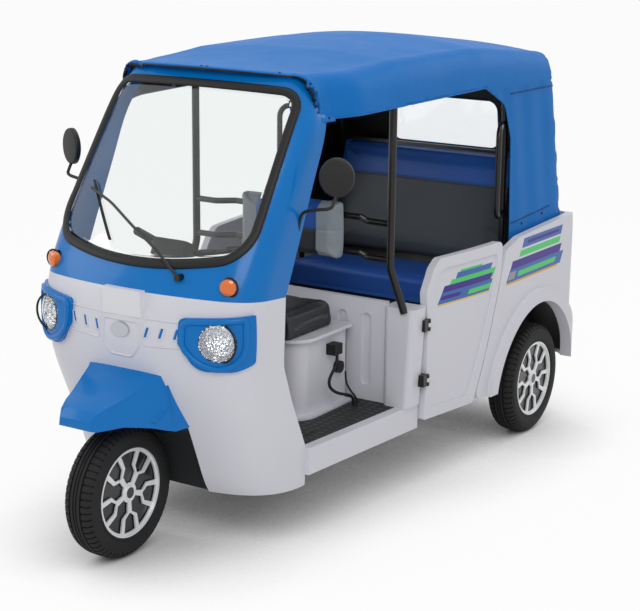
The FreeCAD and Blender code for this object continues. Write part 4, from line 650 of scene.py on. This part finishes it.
def cowl_skin():
    """The blue cowl with the larger windscreen opening cut through it."""
    edge = screen_outline(OPENING_INSET)
    front, back = at(0, OPENING_FRONT_Y, 0).y, at(0, OPENING_BACK_Y, 0).y
    cutter = bmesh.new()
    face = cutter.faces.new([cutter.verts.new((vert.co.x, front, vert.co.z)) for vert in open_edges(edge)[0]])
    edge.free()
    made = bmesh.ops.extrude_face_region(cutter, geom=[face], use_keep_orig=True)
    bmesh.ops.translate(cutter, verts=[one for one in made["geom"] if isinstance(one, bmesh.types.BMVert)],
                        vec=(0, back - front, 0))
    bmesh.ops.recalc_face_normals(cutter, faces=cutter.faces)
    opening = linked("opening", mesh_of("opening", cutter))
    shape = shape_of(frame["nodes"]["cowl_upper"].data)
    bmesh.ops.remove_doubles(shape, verts=shape.verts, dist=0.4 * WELD)
    piece = add_piece("cowl_upper_skin", shape, "shell_blue", replaced=("cowl_upper",))
    cut = piece.modifiers.new("opening", "BOOLEAN")
    cut.operation = "DIFFERENCE"
    cut.solver = "EXACT"
    cut.object = opening
    bake_modifiers(piece)
    bpy.data.objects.remove(opening)
    shape = shape_of(piece.data)
    crowned(shape)
    shape.to_mesh(piece.data)
    shape.free()
    smooth_by_angle(piece, 30)


# Nose: six slots with blue fillings, in a raised band with a crest in its middle
SLOT_PLACES = [(108 + 57 * number, 816 + 3 * number) for number in range(3)]
SLOT_HALF, SLOT_HIGH, SLOT_LEAN, SLOT_ROUND = 8, 20, 6, 4
BAND_CORNERS = [(96, 769), (252, 776), (252, 862), (92, 862)]
CREST_CORNERS = [(-46, 722), (46, 722), (80, 769), (76, 846), (-76, 846), (-80, 769)]


def nose_details():
    fillings, rims = bmesh.new(), bmesh.new()
    for x, z in SLOT_PLACES:
        corners = [(x + SLOT_HALF * side + SLOT_LEAN * end, z + SLOT_HIGH * end)
                   for side, end in ((-1, -1), (1, -1), (1, 1), (-1, 1))]
        patch = flat_outline(corners, [SLOT_ROUND] * 4, cell_mm=6)
        swept(rims, thinned(laid(SHELL, patch, 0.8), 3 * MM), half_across=3 * MM, half_thick=2.6 * MM, closed=True)
        bmesh.ops.recalc_face_normals(patch, faces=patch.faces)
        bmesh.ops.solidify(patch, geom=patch.faces[:], thickness=1.5 * MM)
        mesh = mesh_of("slot", patch)
        fillings.from_mesh(mesh)
        bpy.data.meshes.remove(mesh)
    rimmed(rims, SHELL, BAND_CORNERS, [8] * 4, 8, 0.2, 6, half_across=3.5 * MM, half_thick=2.4 * MM)
    mirrored(fillings)
    mirrored(rims)
    rimmed(rims, SHELL, CREST_CORNERS, [9] * 6, 8, 0.5, 6, half_across=4 * MM, half_thick=3 * MM)
    add_piece("nose_slot_fillings", fillings, "shell_blue")
    add_piece("nose_rims", rims, "shell_white")


# Lamps: the bezels' outline, and rings as place, radius and thickness
BEZEL_CORNERS = [(252, 870), (446, 886), (448, 800), (432, 716), (310, 716), (252, 790)]
BEZEL_ROUNDS = [18, 10, 18, 60, 60, 18]
LAMP_RINGS = [((387, -905, 993), 31 * MM, 3.4 * MM), ((370, -946, 806), 68 * MM, 4 * MM)]


def lamp_details():
    """A rolled edge round each headlamp's bezel, and a dark seat ring round each lamp."""
    rolls = bmesh.new()
    rimmed(rolls, BEZEL_SKIN, BEZEL_CORNERS, BEZEL_ROUNDS, 10, 1, 7, half_across=11 * MM, half_thick=9 * MM, sides=10)
    mirrored(rolls)
    add_piece("bezel_rolled_edges", rolls, "shell_blue")
    rings = bmesh.new()
    for place, radius, thick in LAMP_RINGS:
        centre = at(*place)
        made = bmesh.ops.create_circle(rings, segments=8, radius=thick,
                                       matrix=Matrix.Translation(centre + Vector((radius, 0, 0))))
        bmesh.ops.spin(rings, geom=made["verts"] + edges_at(made["verts"]), cent=centre, axis=REARWARD, angle=math.tau,
                       steps=48, use_merge=True)
    bmesh.ops.remove_doubles(rings, verts=rings.verts, dist=WELD)
    mirrored(rings)
    add_piece("lamp_seat_rings", rings, "seal_rubber")


# Fender: sections along its run, as shares of its sizes: run, low edge's width and height, then the crown's width,
# its height at the sides and in the middle
FENDER_TIP, FENDER_RUN, FENDER_HALF, FENDER_LOW, FENDER_RISE = -1258, 408, 234, 470, 200
FENDER_SHARES = [(0.0, 0.30, 0.26, 0.285, 0.40, 0.42), (0.045, 0.345, 0.24, 0.322, 0.53, 0.565),
                 (0.15, 0.43, 0.24, 0.39, 0.62, 0.66), (0.27, 0.51, 0.24, 0.45, 0.69, 0.73),
                 (0.39, 0.61, 0.19, 0.515, 0.775, 0.82), (0.515, 0.71, 0.13, 0.585, 0.86, 0.91),
                 (0.61, 0.785, 0.06, 0.635, 0.93, 0.985), (0.71, 0.865, 0.0, 0.685, 1.0, 1.06),
                 (0.85, 0.94, 0.02, 0.74, 1.06, 1.12), (1.0, 1.02, 0.04, 0.79, 1.12, 1.19)]
CROWN_STEPS = 10
FENDER_SUNK, FENDER_WALL, FENDER_ROUND, FENDER_CREASE = 8 * MM, 4 * MM, 5 * MM, 32
SCOOP_CORNERS = [(-1062, 520), (-1030, 512), (-975, 562)]
SCOOP_PEAK = Vector((9 * MM, 0, 2 * MM))


def fender():
    shape = bmesh.new()
    rows = []
    for run, low_wide, low_high, wide, high, crown in FENDER_SHARES:
        y = FENDER_TIP + FENDER_RUN * run
        low = at(FENDER_HALF * low_wide, y, FENDER_LOW + FENDER_RISE * low_high)
        row = [low]
        for number in range(CROWN_STEPS + 1):
            across = 1 - 2 * number / CROWN_STEPS
            level = high + (crown - high) * (1 - across ** 2)
            row.append(at(FENDER_HALF * wide * across, y, FENDER_LOW + FENDER_RISE * level))
        row.append(Vector((-low.x, low.y, low.z)))
        for place in row:
            found = on_skin(SHELL, place.x, place.z)
            if found:
                place.y = min(place.y, found[0].y + FENDER_SUNK)
        verts = [shape.verts.new(place) for place in row]
        rows.append([shape.edges.new(pair) for pair in zip(verts, verts[1:])])
    front = [vert for edge in rows[0] for vert in edge.verts]
    for first, second in zip(rows, rows[1:]):
        bmesh.ops.bridge_loops(shape, edges=first + second)
    bmesh.ops.contextual_create(shape, geom=list(dict.fromkeys(front)))
    bmesh.ops.recalc_face_normals(shape, faces=shape.faces)
    piece = add_piece("fender_skin", shape, "shell_blue", replaced=("front_fender",), crease=FENDER_CREASE)
    wall = piece.modifiers.new("moulded_wall", "SOLIDIFY")
    wall.thickness = FENDER_WALL
    wall.offset = -1
    soft = piece.modifiers.new("soft_edges", "BEVEL")
    soft.width = FENDER_ROUND
    soft.segments = 3
    soft.limit_method = "ANGLE"
    soft.angle_limit = math.radians(FENDER_CREASE)
    return piece


def fender_scoops(fender_piece):
    """A shallow wedge on each side of the fender, its face turned up to the light."""
    skin = BVHTree.FromObject(fender_piece, bpy.context.evaluated_depsgraph_get())
    corners = [skin.ray_cast(at(600, y, z), -ACROSS)[0] for y, z in SCOOP_CORNERS]
    peak = (corners[0] + corners[1]) / 2 + SCOOP_PEAK
    shape = bmesh.new()
    first, second, third, top = [shape.verts.new(place) for place in corners + [peak]]
    for trio in ((first, top, third), (top, second, third), (first, second, top), (first, third, second)):
        shape.faces.new(trio)
    mirrored(shape)
    add_piece("fender_scoops", shape, "shell_blue", crease=0)


# Mirrors: oval heads on bent stalks
MIRROR_HALF_WIDE, MIRROR_HALF_HIGH, MIRROR_DEEP, MIRROR_ROUND = 61 * MM, 68 * MM, 20 * MM, 8 * MM
MIRROR_PLACE, MIRROR_TURN = (588, -566, 1336), math.radians(24)
MIRROR_GLASS_SHARE, MIRROR_GLASS_THICK = 0.93, 1.5 * MM
STALK = [(455, -600, 1139), (462, -600, 1180), (475, -600, 1212), (530, -598, 1224), (588, -595, 1232),
         (588, -580, 1256), (588, -566, 1277), (588, -566, 1330)]
STALK_RADIUS = 6 * MM


def mirrors():
    stalks = [[at(x * side, y, z) for x, y, z in STALK] for side in LEFT_AND_RIGHT]
    bar_piece("mirror_stalks", bar_along("mirror_stalks", stalks, STALK_RADIUS, "NURBS", 3), "black_plastic",
              replaced=("mirrors",))
    heads, glasses = bmesh.new(), bmesh.new()
    for side in LEFT_AND_RIGHT:
        x, y, z = MIRROR_PLACE
        place = (Matrix.Translation(at(x * side, y, z)) @ Matrix.Rotation(MIRROR_TURN * side, 4, "Z")
                 @ Matrix.Rotation(math.pi / 2, 4, "X"))
        oval = Matrix.Diagonal((MIRROR_HALF_WIDE, MIRROR_HALF_HIGH, 1, 1))
        back = Matrix.Translation((0, 0, -MIRROR_DEEP / 2))
        made = bmesh.ops.create_circle(heads, cap_ends=True, segments=48, radius=1, matrix=place @ back @ oval)
        made = bmesh.ops.extrude_face_region(heads, geom=[made["verts"][0].link_faces[0]], use_keep_orig=True)
        moved = [one for one in made["geom"] if isinstance(one, bmesh.types.BMVert)]
        bmesh.ops.translate(heads, verts=moved, vec=(place.to_3x3() @ Vector((0, 0, 1))) * MIRROR_DEEP)
        rims = [edge for edge in edges_at(moved) if all(vert in moved for vert in edge.verts)]
        bmesh.ops.bevel(heads, geom=rims, offset=MIRROR_ROUND, offset_type="OFFSET", affect="EDGES", segments=4,
                        profile=0.5, material=-1)
        proud = Matrix.Translation((0, 0, -MIRROR_DEEP / 2 - 1.2 * MM))
        bmesh.ops.create_circle(glasses, cap_ends=True, segments=48, radius=MIRROR_GLASS_SHARE,
                                matrix=place @ proud @ oval)
    bmesh.ops.recalc_face_normals(heads, faces=heads.faces)
    add_piece("mirror_heads", heads, "black_plastic", crease=30)
    bmesh.ops.solidify(glasses, geom=glasses.faces[:], thickness=MIRROR_GLASS_THICK)
    bmesh.ops.recalc_face_normals(glasses, faces=glasses.faces)
    add_piece("mirror_glass", glasses, "lamp_chrome", material=MIRROR_SILVER, crease=0)


# Tyres: half of the section as shares of the wall's height and of the half width, with two grooves
TYRE_SECTION_SHARES = [(0.0, 0.80), (0.02, 0.90), (0.12, 0.955), (0.14, 0.93), (0.17, 0.965), (0.34, 1.0),
                       (0.5, 0.998), (0.66, 0.965), (0.69, 0.94), (0.72, 0.945), (0.84, 0.86), (0.92, 0.74),
                       (0.965, 0.58), (0.985, 0.44), (0.90, 0.42), (0.90, 0.34), (0.993, 0.32), (1.0, 0.16),
                       (0.94, 0.14), (0.94, 0.06), (1.0, 0.04)]
TYRE_STEPS = 232
GROOVE_EVERY, GROOVE_DEEP, GROOVE_SLOPE = 4, 5 * MM, 0.6 * MM
SHOULDER_UP_SHARE, SHOULDER_OUT_SHARE = 0.74, 0.5


def tyre(node):
    """A road tyre spun from its section, with lateral grooves pressed into the shoulders."""
    low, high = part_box(node)
    rim_low, rim_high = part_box(node.replace("tyre", "rim"))
    middle = middle_of(node)
    half = (high[0] - low[0]) / 2
    outer = (high[2] - low[2]) / 2
    inner = (rim_high[2] - rim_low[2]) / 2
    section = [(inner + (outer - inner) * up, half * out) for up, out in TYRE_SECTION_SHARES]
    section += [(radius, -out) for radius, out in reversed(section)]
    shape = bmesh.new()
    verts = [shape.verts.new(middle + Vector((out, 0, radius))) for radius, out in section]
    edges = [shape.edges.new(pair) for pair in zip(verts, verts[1:])]
    bmesh.ops.spin(shape, geom=verts + edges, cent=middle, axis=ACROSS, angle=math.tau, steps=TYRE_STEPS,
                   use_merge=True)
    bmesh.ops.recalc_face_normals(shape, faces=shape.faces)
    step = math.tau / TYRE_STEPS
    grooved = []
    for face in shape.faces:
        centre = face.calc_center_median() - middle
        turn = round(math.atan2(centre.y, centre.z) / step - 0.5) + (0 if centre.x > 0 else GROOVE_EVERY // 2)
        share = (math.hypot(centre.y, centre.z) - inner) / (outer - inner)
        if turn % GROOVE_EVERY == 0 and share > SHOULDER_UP_SHARE and abs(centre.x) > half * SHOULDER_OUT_SHARE:
            grooved.append(face)
    bmesh.ops.inset_region(shape, faces=grooved, thickness=GROOVE_SLOPE, depth=-GROOVE_DEEP, use_even_offset=True)
    add_piece(node + "_treaded", shape, "tyre", body=frame["nodes"][node]["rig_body"], replaced=(node,), crease=30)


# Padded seats: the frame's plain blocks, filled by a cloth simulation
VOXEL = 9 * MM
SHRINK = 5 * MM
CAP = 11 * MM
FILL_FRAMES = 20
SEAM_WIDE, SEAM_DEEP = 9 * MM, 4 * MM
PADS = {"driver_cushion": ((0, 0, -1), 0.7), "driver_backrest": ((0, 1, 0), 0.7),
        "passenger_cushion": ((0, 0, -1), 0.8), "passenger_backrest": ((0, 1, 0), 0.8)}
# Seams of each pad: axis, level, and the side that they are sewn on
PAD_SEAMS = {
    "driver_cushion": [("X", -235, (0, 0, 1)), ("X", 235, (0, 0, 1))],
    "driver_backrest": [("X", -140, (0, -1, 0)), ("X", 140, (0, -1, 0)), ("Z", 1010, (0, -1, 0))],
    "passenger_backrest": [("Z", 1044, (0, -1, 0))],
}
PAD_SKINS = {
    "driver_cushion": vinyl("vinyl_seat_black", "#24272B"),
    "driver_backrest": vinyl("vinyl_backrest_two_tone", "#8E969E",
                             [([("X", -140, 140)], "#2A2E33"), ([("X", -140, 140), ("Z", 1010, 1200)], "#2456A8")]),
    "passenger_cushion": vinyl("vinyl_bench_navy", "#2A5CB4"),
    "passenger_backrest": vinyl("vinyl_bench_back_two_tone", "#2458AC", [([("Z", 700, 1044)], "#3A4148")]),
}


def plain_copy(name, source):
    """A merged copy of a block, in even cells that can swell."""
    piece = linked(name, source.data.copy())
    shape = shape_of(piece.data)
    bmesh.ops.remove_doubles(shape, verts=shape.verts, dist=WELD)
    shape.to_mesh(piece.data)
    shape.free()
    remesh = piece.modifiers.new("remesh", "REMESH")
    remesh.mode = "VOXEL"
    remesh.voxel_size = VOXEL
    bake_modifiers(piece)
    return piece


def fill_with_foam(pieces, held_sides):
    """Swell the pads against their covers, held still on the side that rests on something."""
    starts = {}
    for piece, side in zip(pieces, held_sides):
        held = piece.vertex_groups.new(name="held")
        for vert in piece.data.vertices:
            if vert.normal.dot(Vector(side)) > 0.7:
                held.add([vert.index], 1.0, "REPLACE")
            else:
                vert.co -= vert.normal * SHRINK
        starts[piece] = [vert.co.copy() for vert in piece.data.vertices]
        cloth = piece.modifiers.new("filling", "CLOTH")
        cloth.settings.use_pressure = True
        cloth.settings.uniform_pressure_force = 4
        cloth.settings.vertex_group_mass = "held"
        cloth.settings.effector_weights.gravity = 0
        cloth.settings.tension_stiffness = 12
        cloth.settings.compression_stiffness = 12
        cloth.settings.bending_stiffness = 0.4
        cloth.point_cache.frame_end = FILL_FRAMES
    for number in range(1, FILL_FRAMES + 1):
        bpy.context.scene.frame_set(number)
    for piece in pieces:
        bake_modifiers(piece)
        for vert, start in zip(piece.data.vertices, starts[piece]):
            move = vert.co - start
            if move.length > CAP:
                vert.co = start + move.normalized() * CAP
    bpy.context.scene.frame_set(1)


def sewn(piece, axis, level, side):
    """A sewn line pulled into one side of the cover where it crosses a level on one axis."""
    for vert in piece.data.vertices:
        off = abs(vert.co["XYZ".index(axis)] - level)
        if off < SEAM_WIDE and vert.normal.dot(Vector(side)) > 0.3:
            vert.co -= vert.normal * SEAM_DEEP * (1 - off / SEAM_WIDE) ** 2


def finer(piece):
    """One level of subdivision put into the mesh, then smooth shading."""
    smoother = piece.modifiers.new("finer", "SUBSURF")
    smoother.levels = 1
    smoother.render_levels = 1
    bake_modifiers(piece)
    piece.data.shade_smooth()


def seats():
    pads = {name: plain_copy(name + "_padded", frame["nodes"][name]) for name in PADS}
    fill_with_foam(list(pads.values()), [side for side, fill in PADS.values()])
    for name, piece in pads.items():
        finer(piece)
        for axis, level, side in PAD_SEAMS.get(name, []):
            sewn(piece, axis, level * MM, side)
        piece.data.materials.clear()
        piece.data.materials.append(PAD_SKINS[name])
        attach(piece, "root")
        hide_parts(name)


# Canopy: one sheet over the hoop and the bows, with rolled hems
CELL = 24 * MM
CLOTH_THICK = 1.6 * MM
HEM_RADIUS = 2.6 * MM
BOW_PLACES = [-430, 35, 653, 1232]
SAG, RIPPLE = 7 * MM, 2 * MM
# The middle line that the sheet faces away from, and how far in a thin wall's other side lies at most
SPINE_FRONT_Y, SPINE_BACK_Y, SPINE_HEIGHT = -300, 900, 1.0
WALL_REACH = 18 * MM
# Behind and above here the wall turns the roof's rear edge and is thicker than a flat part
REAR_FOLD_Y, REAR_FOLD_Z = 1190, 1490
# The front flaps are pulled in to the cowl's pillars from here forwards
HUG_PLACE, HUG_START_Y, HUG_RUN, HUG_GAP = (700, -420, 1560), -230, 0.2, 9 * MM


def outer_skin(name):
    """The outside of a thin-walled frame piece, without its inner side and its edges."""
    shape = shape_of(frame["nodes"][name].data)
    bmesh.ops.remove_doubles(shape, verts=shape.verts, dist=WELD)
    tree = BVHTree.FromBMesh(shape)
    front, back = at(0, SPINE_FRONT_Y, 0).y, at(0, SPINE_BACK_Y, 0).y
    fold = at(0, REAR_FOLD_Y, REAR_FOLD_Z)
    unwanted = []
    for face in shape.faces:
        centre = face.calc_center_median()
        spine = Vector((0, min(max(centre.y, front), back), SPINE_HEIGHT))
        hit = tree.ray_cast(centre - face.normal * 0.2 * MM, -face.normal, WALL_REACH)
        in_fold = centre.y > fold.y and centre.z > fold.z
        if (hit[0] is None and not in_fold) or face.normal.dot(centre - spine) < 0:
            unwanted.append(face)
    bmesh.ops.delete(shape, geom=unwanted, context="FACES")
    return shape


def drape(shape):
    """Sag between the bows, with a slight ripple down the side flaps."""
    shape.normal_update()
    marks = [at(0, y, 0).y for y in BOW_PLACES]
    for vert in shape.verts:
        if vert.is_boundary:
            continue
        for first, last in zip(marks, marks[1:]):
            if first < vert.co.y < last and vert.normal.z > 0:
                part = (vert.co.y - first) / (last - first)
                vert.co -= vert.normal * SAG * math.sin(part * math.pi) * vert.normal.z
        if abs(vert.normal.x) > 0.7 and vert.co.z < 1.5:
            vert.co -= vert.normal * RIPPLE * (1 + math.sin(vert.co.y * 38 + vert.co.z * 5))


def hugged(shape):
    """Pull the front of the cover in to the cowl's pillars, which it wraps."""
    cover = BVHTree.FromBMesh(shape).ray_cast(at(*HUG_PLACE), -ACROSS)[0]
    pillar = skin_of("cowl_upper").ray_cast(at(*HUG_PLACE), -ACROSS)[0]
    gap = cover.x - pillar.x - HUG_GAP
    start = at(0, HUG_START_Y, 0).y
    for vert in shape.verts:
        share = min(max((start - vert.co.y) / HUG_RUN, 0), 1)
        share = share * share * (3 - 2 * share) * min(abs(vert.co.x) / cover.x, 1) ** 3
        vert.co.x -= math.copysign(gap * share, vert.co.x)


def canopy():
    shape = outer_skin("canopy")
    cut_area = sum(face.calc_area() for face in shape.faces)
    cut_in_cells(shape, CELL)
    bmesh.ops.remove_doubles(shape, verts=shape.verts, dist=1.5 * MM)
    inner = [vert for vert in shape.verts if not vert.is_boundary]
    for turn in range(3):
        bmesh.ops.smooth_vert(shape, verts=inner, factor=0.5, use_axis_x=True, use_axis_y=True, use_axis_z=True)
    drape(shape)
    crowned(shape)
    hugged(shape)
    loops = [[vert.co.copy() for vert in loop] for loop in open_edges(shape)]
    piece = add_piece("canopy_sheet", shape, "canopy_fabric", replaced=("canopy",))
    piece.data.materials.append(SLOTS["black_plastic"])
    wall = piece.modifiers.new("cloth_thickness", "SOLIDIFY")
    wall.thickness = CLOTH_THICK
    wall.offset = -1
    wall.material_offset = 1
    hem = bar_piece("canopy_hem", bar_along("canopy_hem", loops, HEM_RADIUS, "POLY", 2, closed=True), "canopy_fabric")
    stations = front_edge(max(loops, key=len))
    sheet = skin_of("canopy")
    front_band(stations)
    canopy_studs(stations, sheet)
    canopy_seams(sheet)


# Trim of the canopy: the front band's zone, its gathers, and the places of studs and seams
EDGE_BACK_Y, EDGE_LOW, EDGE_MIDDLE = -365, 1.40, 1.2
BAND_MIDDLE, BAND_STEP, BAND_AHEAD, BAND_PROUD = 1.15, 5 * MM, 4 * MM, 1.5 * MM
BAND_HALF_WIDE, BAND_HALF_THICK = 13 * MM, 4.5 * MM
GATHER_X, GATHER_Z, GATHER_SHARE, GATHER_PITCH = 0.33, 1.45, 0.22, 1.05
BEAD_OFFSET, BEAD_IN, BEAD_RADIUS = Vector((0, -13 * MM, -3 * MM)), 2 * MM, 3 * MM
STUD_X, STUD_HIGH = [-290, -12, 12, 300], 1.5
SIDE_STUDS = [(772, 908), (950, 928), (1140, 942)]
STUD_RADIUS, STUD_RISE, STUD_PROUD = 6 * MM, 3 * MM, 4 * MM
ROUND_SEAM_MIDDLE, ROUND_SEAM_REACH, ROUND_SEAM_STEPS = (0, 980, 1478), 1.2, 140
ROUND_SEAM_START, ROUND_SEAM_TURN = -14, 208
SIDE_SEAM_START, SIDE_SEAM_RUN, SIDE_SEAM_STEPS = (735, 935), (480, 28), 59
SEAM_PROUD = 0.4 * MM
BESIDE = 900


def front_edge(edge):
    """Places along the front of the cover's edge, with the way out and how far it is gathered there."""
    line = [place for place in edge if place.y < at(0, EDGE_BACK_Y, 0).y and place.z > EDGE_LOW]
    line.sort(key=lambda place: math.atan2(place.x, place.z - EDGE_MIDDLE))
    stations = []
    for place in line:
        out = place - Vector((0, place.y, BAND_MIDDLE))
        if stations and (place - stations[-1][0]).length < BAND_STEP:
            continue
        corner = abs(place.x) > GATHER_X and place.z > GATHER_Z
        gather = 1 + GATHER_SHARE * math.sin(len(stations) * GATHER_PITCH) if corner else 1.0
        stations.append((place - REARWARD * BAND_AHEAD + out.normalized() * BAND_PROUD, out, gather))
    return stations


def front_band(stations):
    """The folded band along the front edge, gathered at its corners, with a rubber bead under it."""
    band = bmesh.new()
    swept(band, stations, BAND_HALF_WIDE, BAND_HALF_THICK, sides=12)
    piece = add_piece("canopy_front_band", band, "canopy_fabric")
    bead = bmesh.new()
    below = [(place + BEAD_OFFSET - out.normalized() * BEAD_IN, out, 1.0) for place, out, gather in stations]
    swept(bead, below, BEAD_RADIUS, BEAD_RADIUS)
    add_piece("header_rubber", bead, "seal_rubber")
    return piece


def canopy_studs(stations, sheet):
    spots = []
    for x in STUD_X:
        place, out, gather = min(stations, key=lambda one: abs(one[0].x - x * MM) + (0 if one[0].z > STUD_HIGH else 9))
        spots.append((place + out.normalized() * STUD_PROUD - REARWARD * 3 * MM, out))
    for place, out, gather in (stations[1], stations[-2]):
        spots.append((place + out.normalized() * STUD_PROUD, out))
    for side in LEFT_AND_RIGHT:
        for y, z in SIDE_STUDS:
            hit, normal, face, distance = sheet.ray_cast(at(BESIDE * side, y, z), -ACROSS * side)
            if hit:
                spots.append((hit + normal * 1 * MM, normal))
    studs = bmesh.new()
    for place, out in spots:
        turn = out.to_track_quat("Z", "Y").to_matrix().to_4x4()
        dome = Matrix.Diagonal((STUD_RADIUS, STUD_RADIUS, STUD_RISE, 1))
        bmesh.ops.create_uvsphere(studs, u_segments=12, v_segments=8, radius=1,
                                  matrix=Matrix.Translation(place) @ turn @ dome)
    return add_piece("canopy_studs", studs, "black_plastic")


def sewn_line(shape, sheet, rays, half_across, half_thick):
    """A raised seam where rays meet the sheet."""
    hits = [sheet.ray_cast(*ray) for ray in rays]
    line = [(hit + normal * SEAM_PROUD, normal, 1.0) for hit, normal, face, distance in hits if hit]
    swept(shape, line, half_across, half_thick)


def canopy_seams(sheet):
    """The seam round the back of the roof, and one along each side above the body."""
    seams = bmesh.new()
    rays = []
    for number in range(ROUND_SEAM_STEPS + 1):
        angle = math.radians(ROUND_SEAM_START + ROUND_SEAM_TURN * number / ROUND_SEAM_STEPS)
        way = Vector((math.cos(angle), math.sin(angle), 0))
        rays.append((at(*ROUND_SEAM_MIDDLE) + way * ROUND_SEAM_REACH, -way))
    sewn_line(seams, sheet, rays, 2.6 * MM, 1.5 * MM)
    for side in LEFT_AND_RIGHT:
        rays = []
        for number in range(SIDE_SEAM_STEPS + 1):
            y, z = [start + run * number / SIDE_SEAM_STEPS for start, run in zip(SIDE_SEAM_START, SIDE_SEAM_RUN)]
            rays.append((at(BESIDE * side, y, z), -ACROSS * side))
        sewn_line(seams, sheet, rays, 2 * MM, 1.2 * MM)
    return add_piece("canopy_seams", seams, "canopy_fabric", material=SEAM_THREAD)


# Cables from the charging connector and its cap down to the floor: thickness, length and route
CABLES = {
    "charging_cable": (0.012, 0.345, [(300, -88, 562), (308, -96, 540), (316, -128, 512), (320, -172, 486),
                                      (322, -176, 452), (324, -130, 418), (328, -74, 398), (332, -30, 384),
                                      (334, -16, 360), (334, -14, 338)]),
    "cap_cable": (0.008, 0.145, [(300, -24, 474), (302, -26, 452), (312, -34, 428), (326, -24, 398), (338, -6, 372),
                                 (340, 0, 352), (340, 0, 338)]),
}


def cables():
    for name, (thick, length, route) in CABLES.items():
        places = [at(*place) for place in route]
        piece = linked(name, bar_along(name, [places], thick / 2, "NURBS", 4, steps=12))
        piece.data.materials.append(SLOTS["grip_rubber"])
        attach(piece, "root")


for wheel in ("front_tyre", "rear_tyre_left", "rear_tyre_right"):
    tyre(wheel)
seats()
canopy()
cables()
windscreen()
cowl_skin()
nose_details()
lamp_details()
fender_scoops(fender())
mirrors()


# Studio floor, lights and camera
PAPER_WHITE, WORLD_LIGHT = 0.94, 0.42
# Lamps: place, size and power, all turned to the middle of the vehicle
LAMPS = {"key_softbox": ((3.5, -4.5, 4.5), 3.0, 120), "fill_softbox": ((-4.5, -3.5, 3.0), 3.0, 55),
         "top_softbox": ((0, 0.5, 5.0), 4.0, 45), "rear_softbox": ((2.5, 5.0, 3.5), 3.0, 45)}
LAMP_TARGET = Vector((0, 0, 0.8))
FLOOR_HALF = 30


def straight_rays(tree):
    """One for the rays that show the backdrop itself: seen, mirrored or through glass."""
    found = 0.0
    for kind in ("Camera", "Glossy", "Transmission"):
        ray = add_node(tree, "ShaderNodeLightPath", output="Is %s Ray" % kind)
        found = add_node(tree, "ShaderNodeMath", {0: ray, 1: found}, operation="MAXIMUM")
    return found


def studio_paper():
    """White paper sweep: plain white to the rays that show the backdrop, from a glow that ambient occlusion darkens
    into a painted shadow beneath the vehicle; other rays meet a diffuse floor that takes the lamps' shadow.
    """
    made, tree, shader, place = new_finish("studio_paper", Base_Color="#F4F4F4", Roughness=0.9, Specular_IOR_Level=0.1)
    # Painted shadow: ambient occlusion near the vehicle dims the floor's glow, which stands in for a cast shadow
    open_sky = add_node(tree, "ShaderNodeAmbientOcclusion", {"Distance": 0.7}, "AO", samples=12)
    shade = add_node(tree, "ShaderNodeMapRange", {"Value": open_sky, "From Min": 0.1, "From Max": 0.85})
    glow = add_node(tree, "ShaderNodeEmission", {"Color": "#FFFFFF", "Strength": shade})
    share = add_node(tree, "ShaderNodeMath", {0: straight_rays(tree), 1: PAPER_WHITE}, operation="MULTIPLY")
    blend = add_node(tree, "ShaderNodeMixShader", {0: share, 1: shader.outputs[0], 2: glow})
    feed(tree, tree.nodes["Material Output"].inputs["Surface"], blend)
    return made


def floor():
    shape = bmesh.new()
    bmesh.ops.create_grid(shape, x_segments=1, y_segments=1, size=FLOOR_HALF)
    made = linked("studio_floor", mesh_of("studio_floor", shape))
    made.data.materials.append(studio_paper())


def lamp(name, place, size, power):
    data = bpy.data.lights.new(name, "AREA")
    data.shape = "DISK"
    data.size = size
    data.energy = power
    made = linked(name, data)
    made.location = place
    made.rotation_euler = (LAMP_TARGET - Vector(place)).to_track_quat("-Z", "Y").to_euler()


floor()
for name, (place, size, power) in LAMPS.items():
    lamp(name, place, size, power)

world = bpy.data.worlds.new("studio_world")
bpy.context.scene.world = world
world.use_nodes = True
sky = world.node_tree
backdrop = sky.nodes["Background"]
feed(sky, backdrop.inputs["Color"], "#FFFFFF")
feed(sky, backdrop.inputs["Strength"],
     add_node(sky, "ShaderNodeMapRange", {"Value": straight_rays(sky), "To Min": WORLD_LIGHT, "To Max": 1.0}))

# The camera stands where the photograph was taken from
YAW, PITCH, ROLL = math.radians(32.5795), math.radians(14.1636), math.radians(0.6193)
CAMERA_PLACE = Vector((3.56305, -5.42496, 2.30389))
PHOTO_WIDTH, FOCAL_PIXELS, SENSOR_MM = 640, 1675.78, 36
forward = Vector((-math.sin(YAW) * math.cos(PITCH), math.cos(YAW) * math.cos(PITCH), -math.sin(PITCH)))
level_right = Vector((math.cos(YAW), math.sin(YAW), 0))
level_up = level_right.cross(forward)
right = math.cos(ROLL) * level_right + math.sin(ROLL) * level_up
up = -math.sin(ROLL) * level_right + math.cos(ROLL) * level_up
camera_data = bpy.data.cameras.new("photo_camera")
camera_data.sensor_width = SENSOR_MM
camera_data.lens = FOCAL_PIXELS / PHOTO_WIDTH * SENSOR_MM
camera = linked("photo_camera", camera_data)
camera.matrix_world = Matrix((right, up, -forward)).transposed().to_4x4()
camera.location = CAMERA_PLACE
bpy.context.scene.camera = camera
bpy.context.scene.view_settings.view_transform = "Standard"
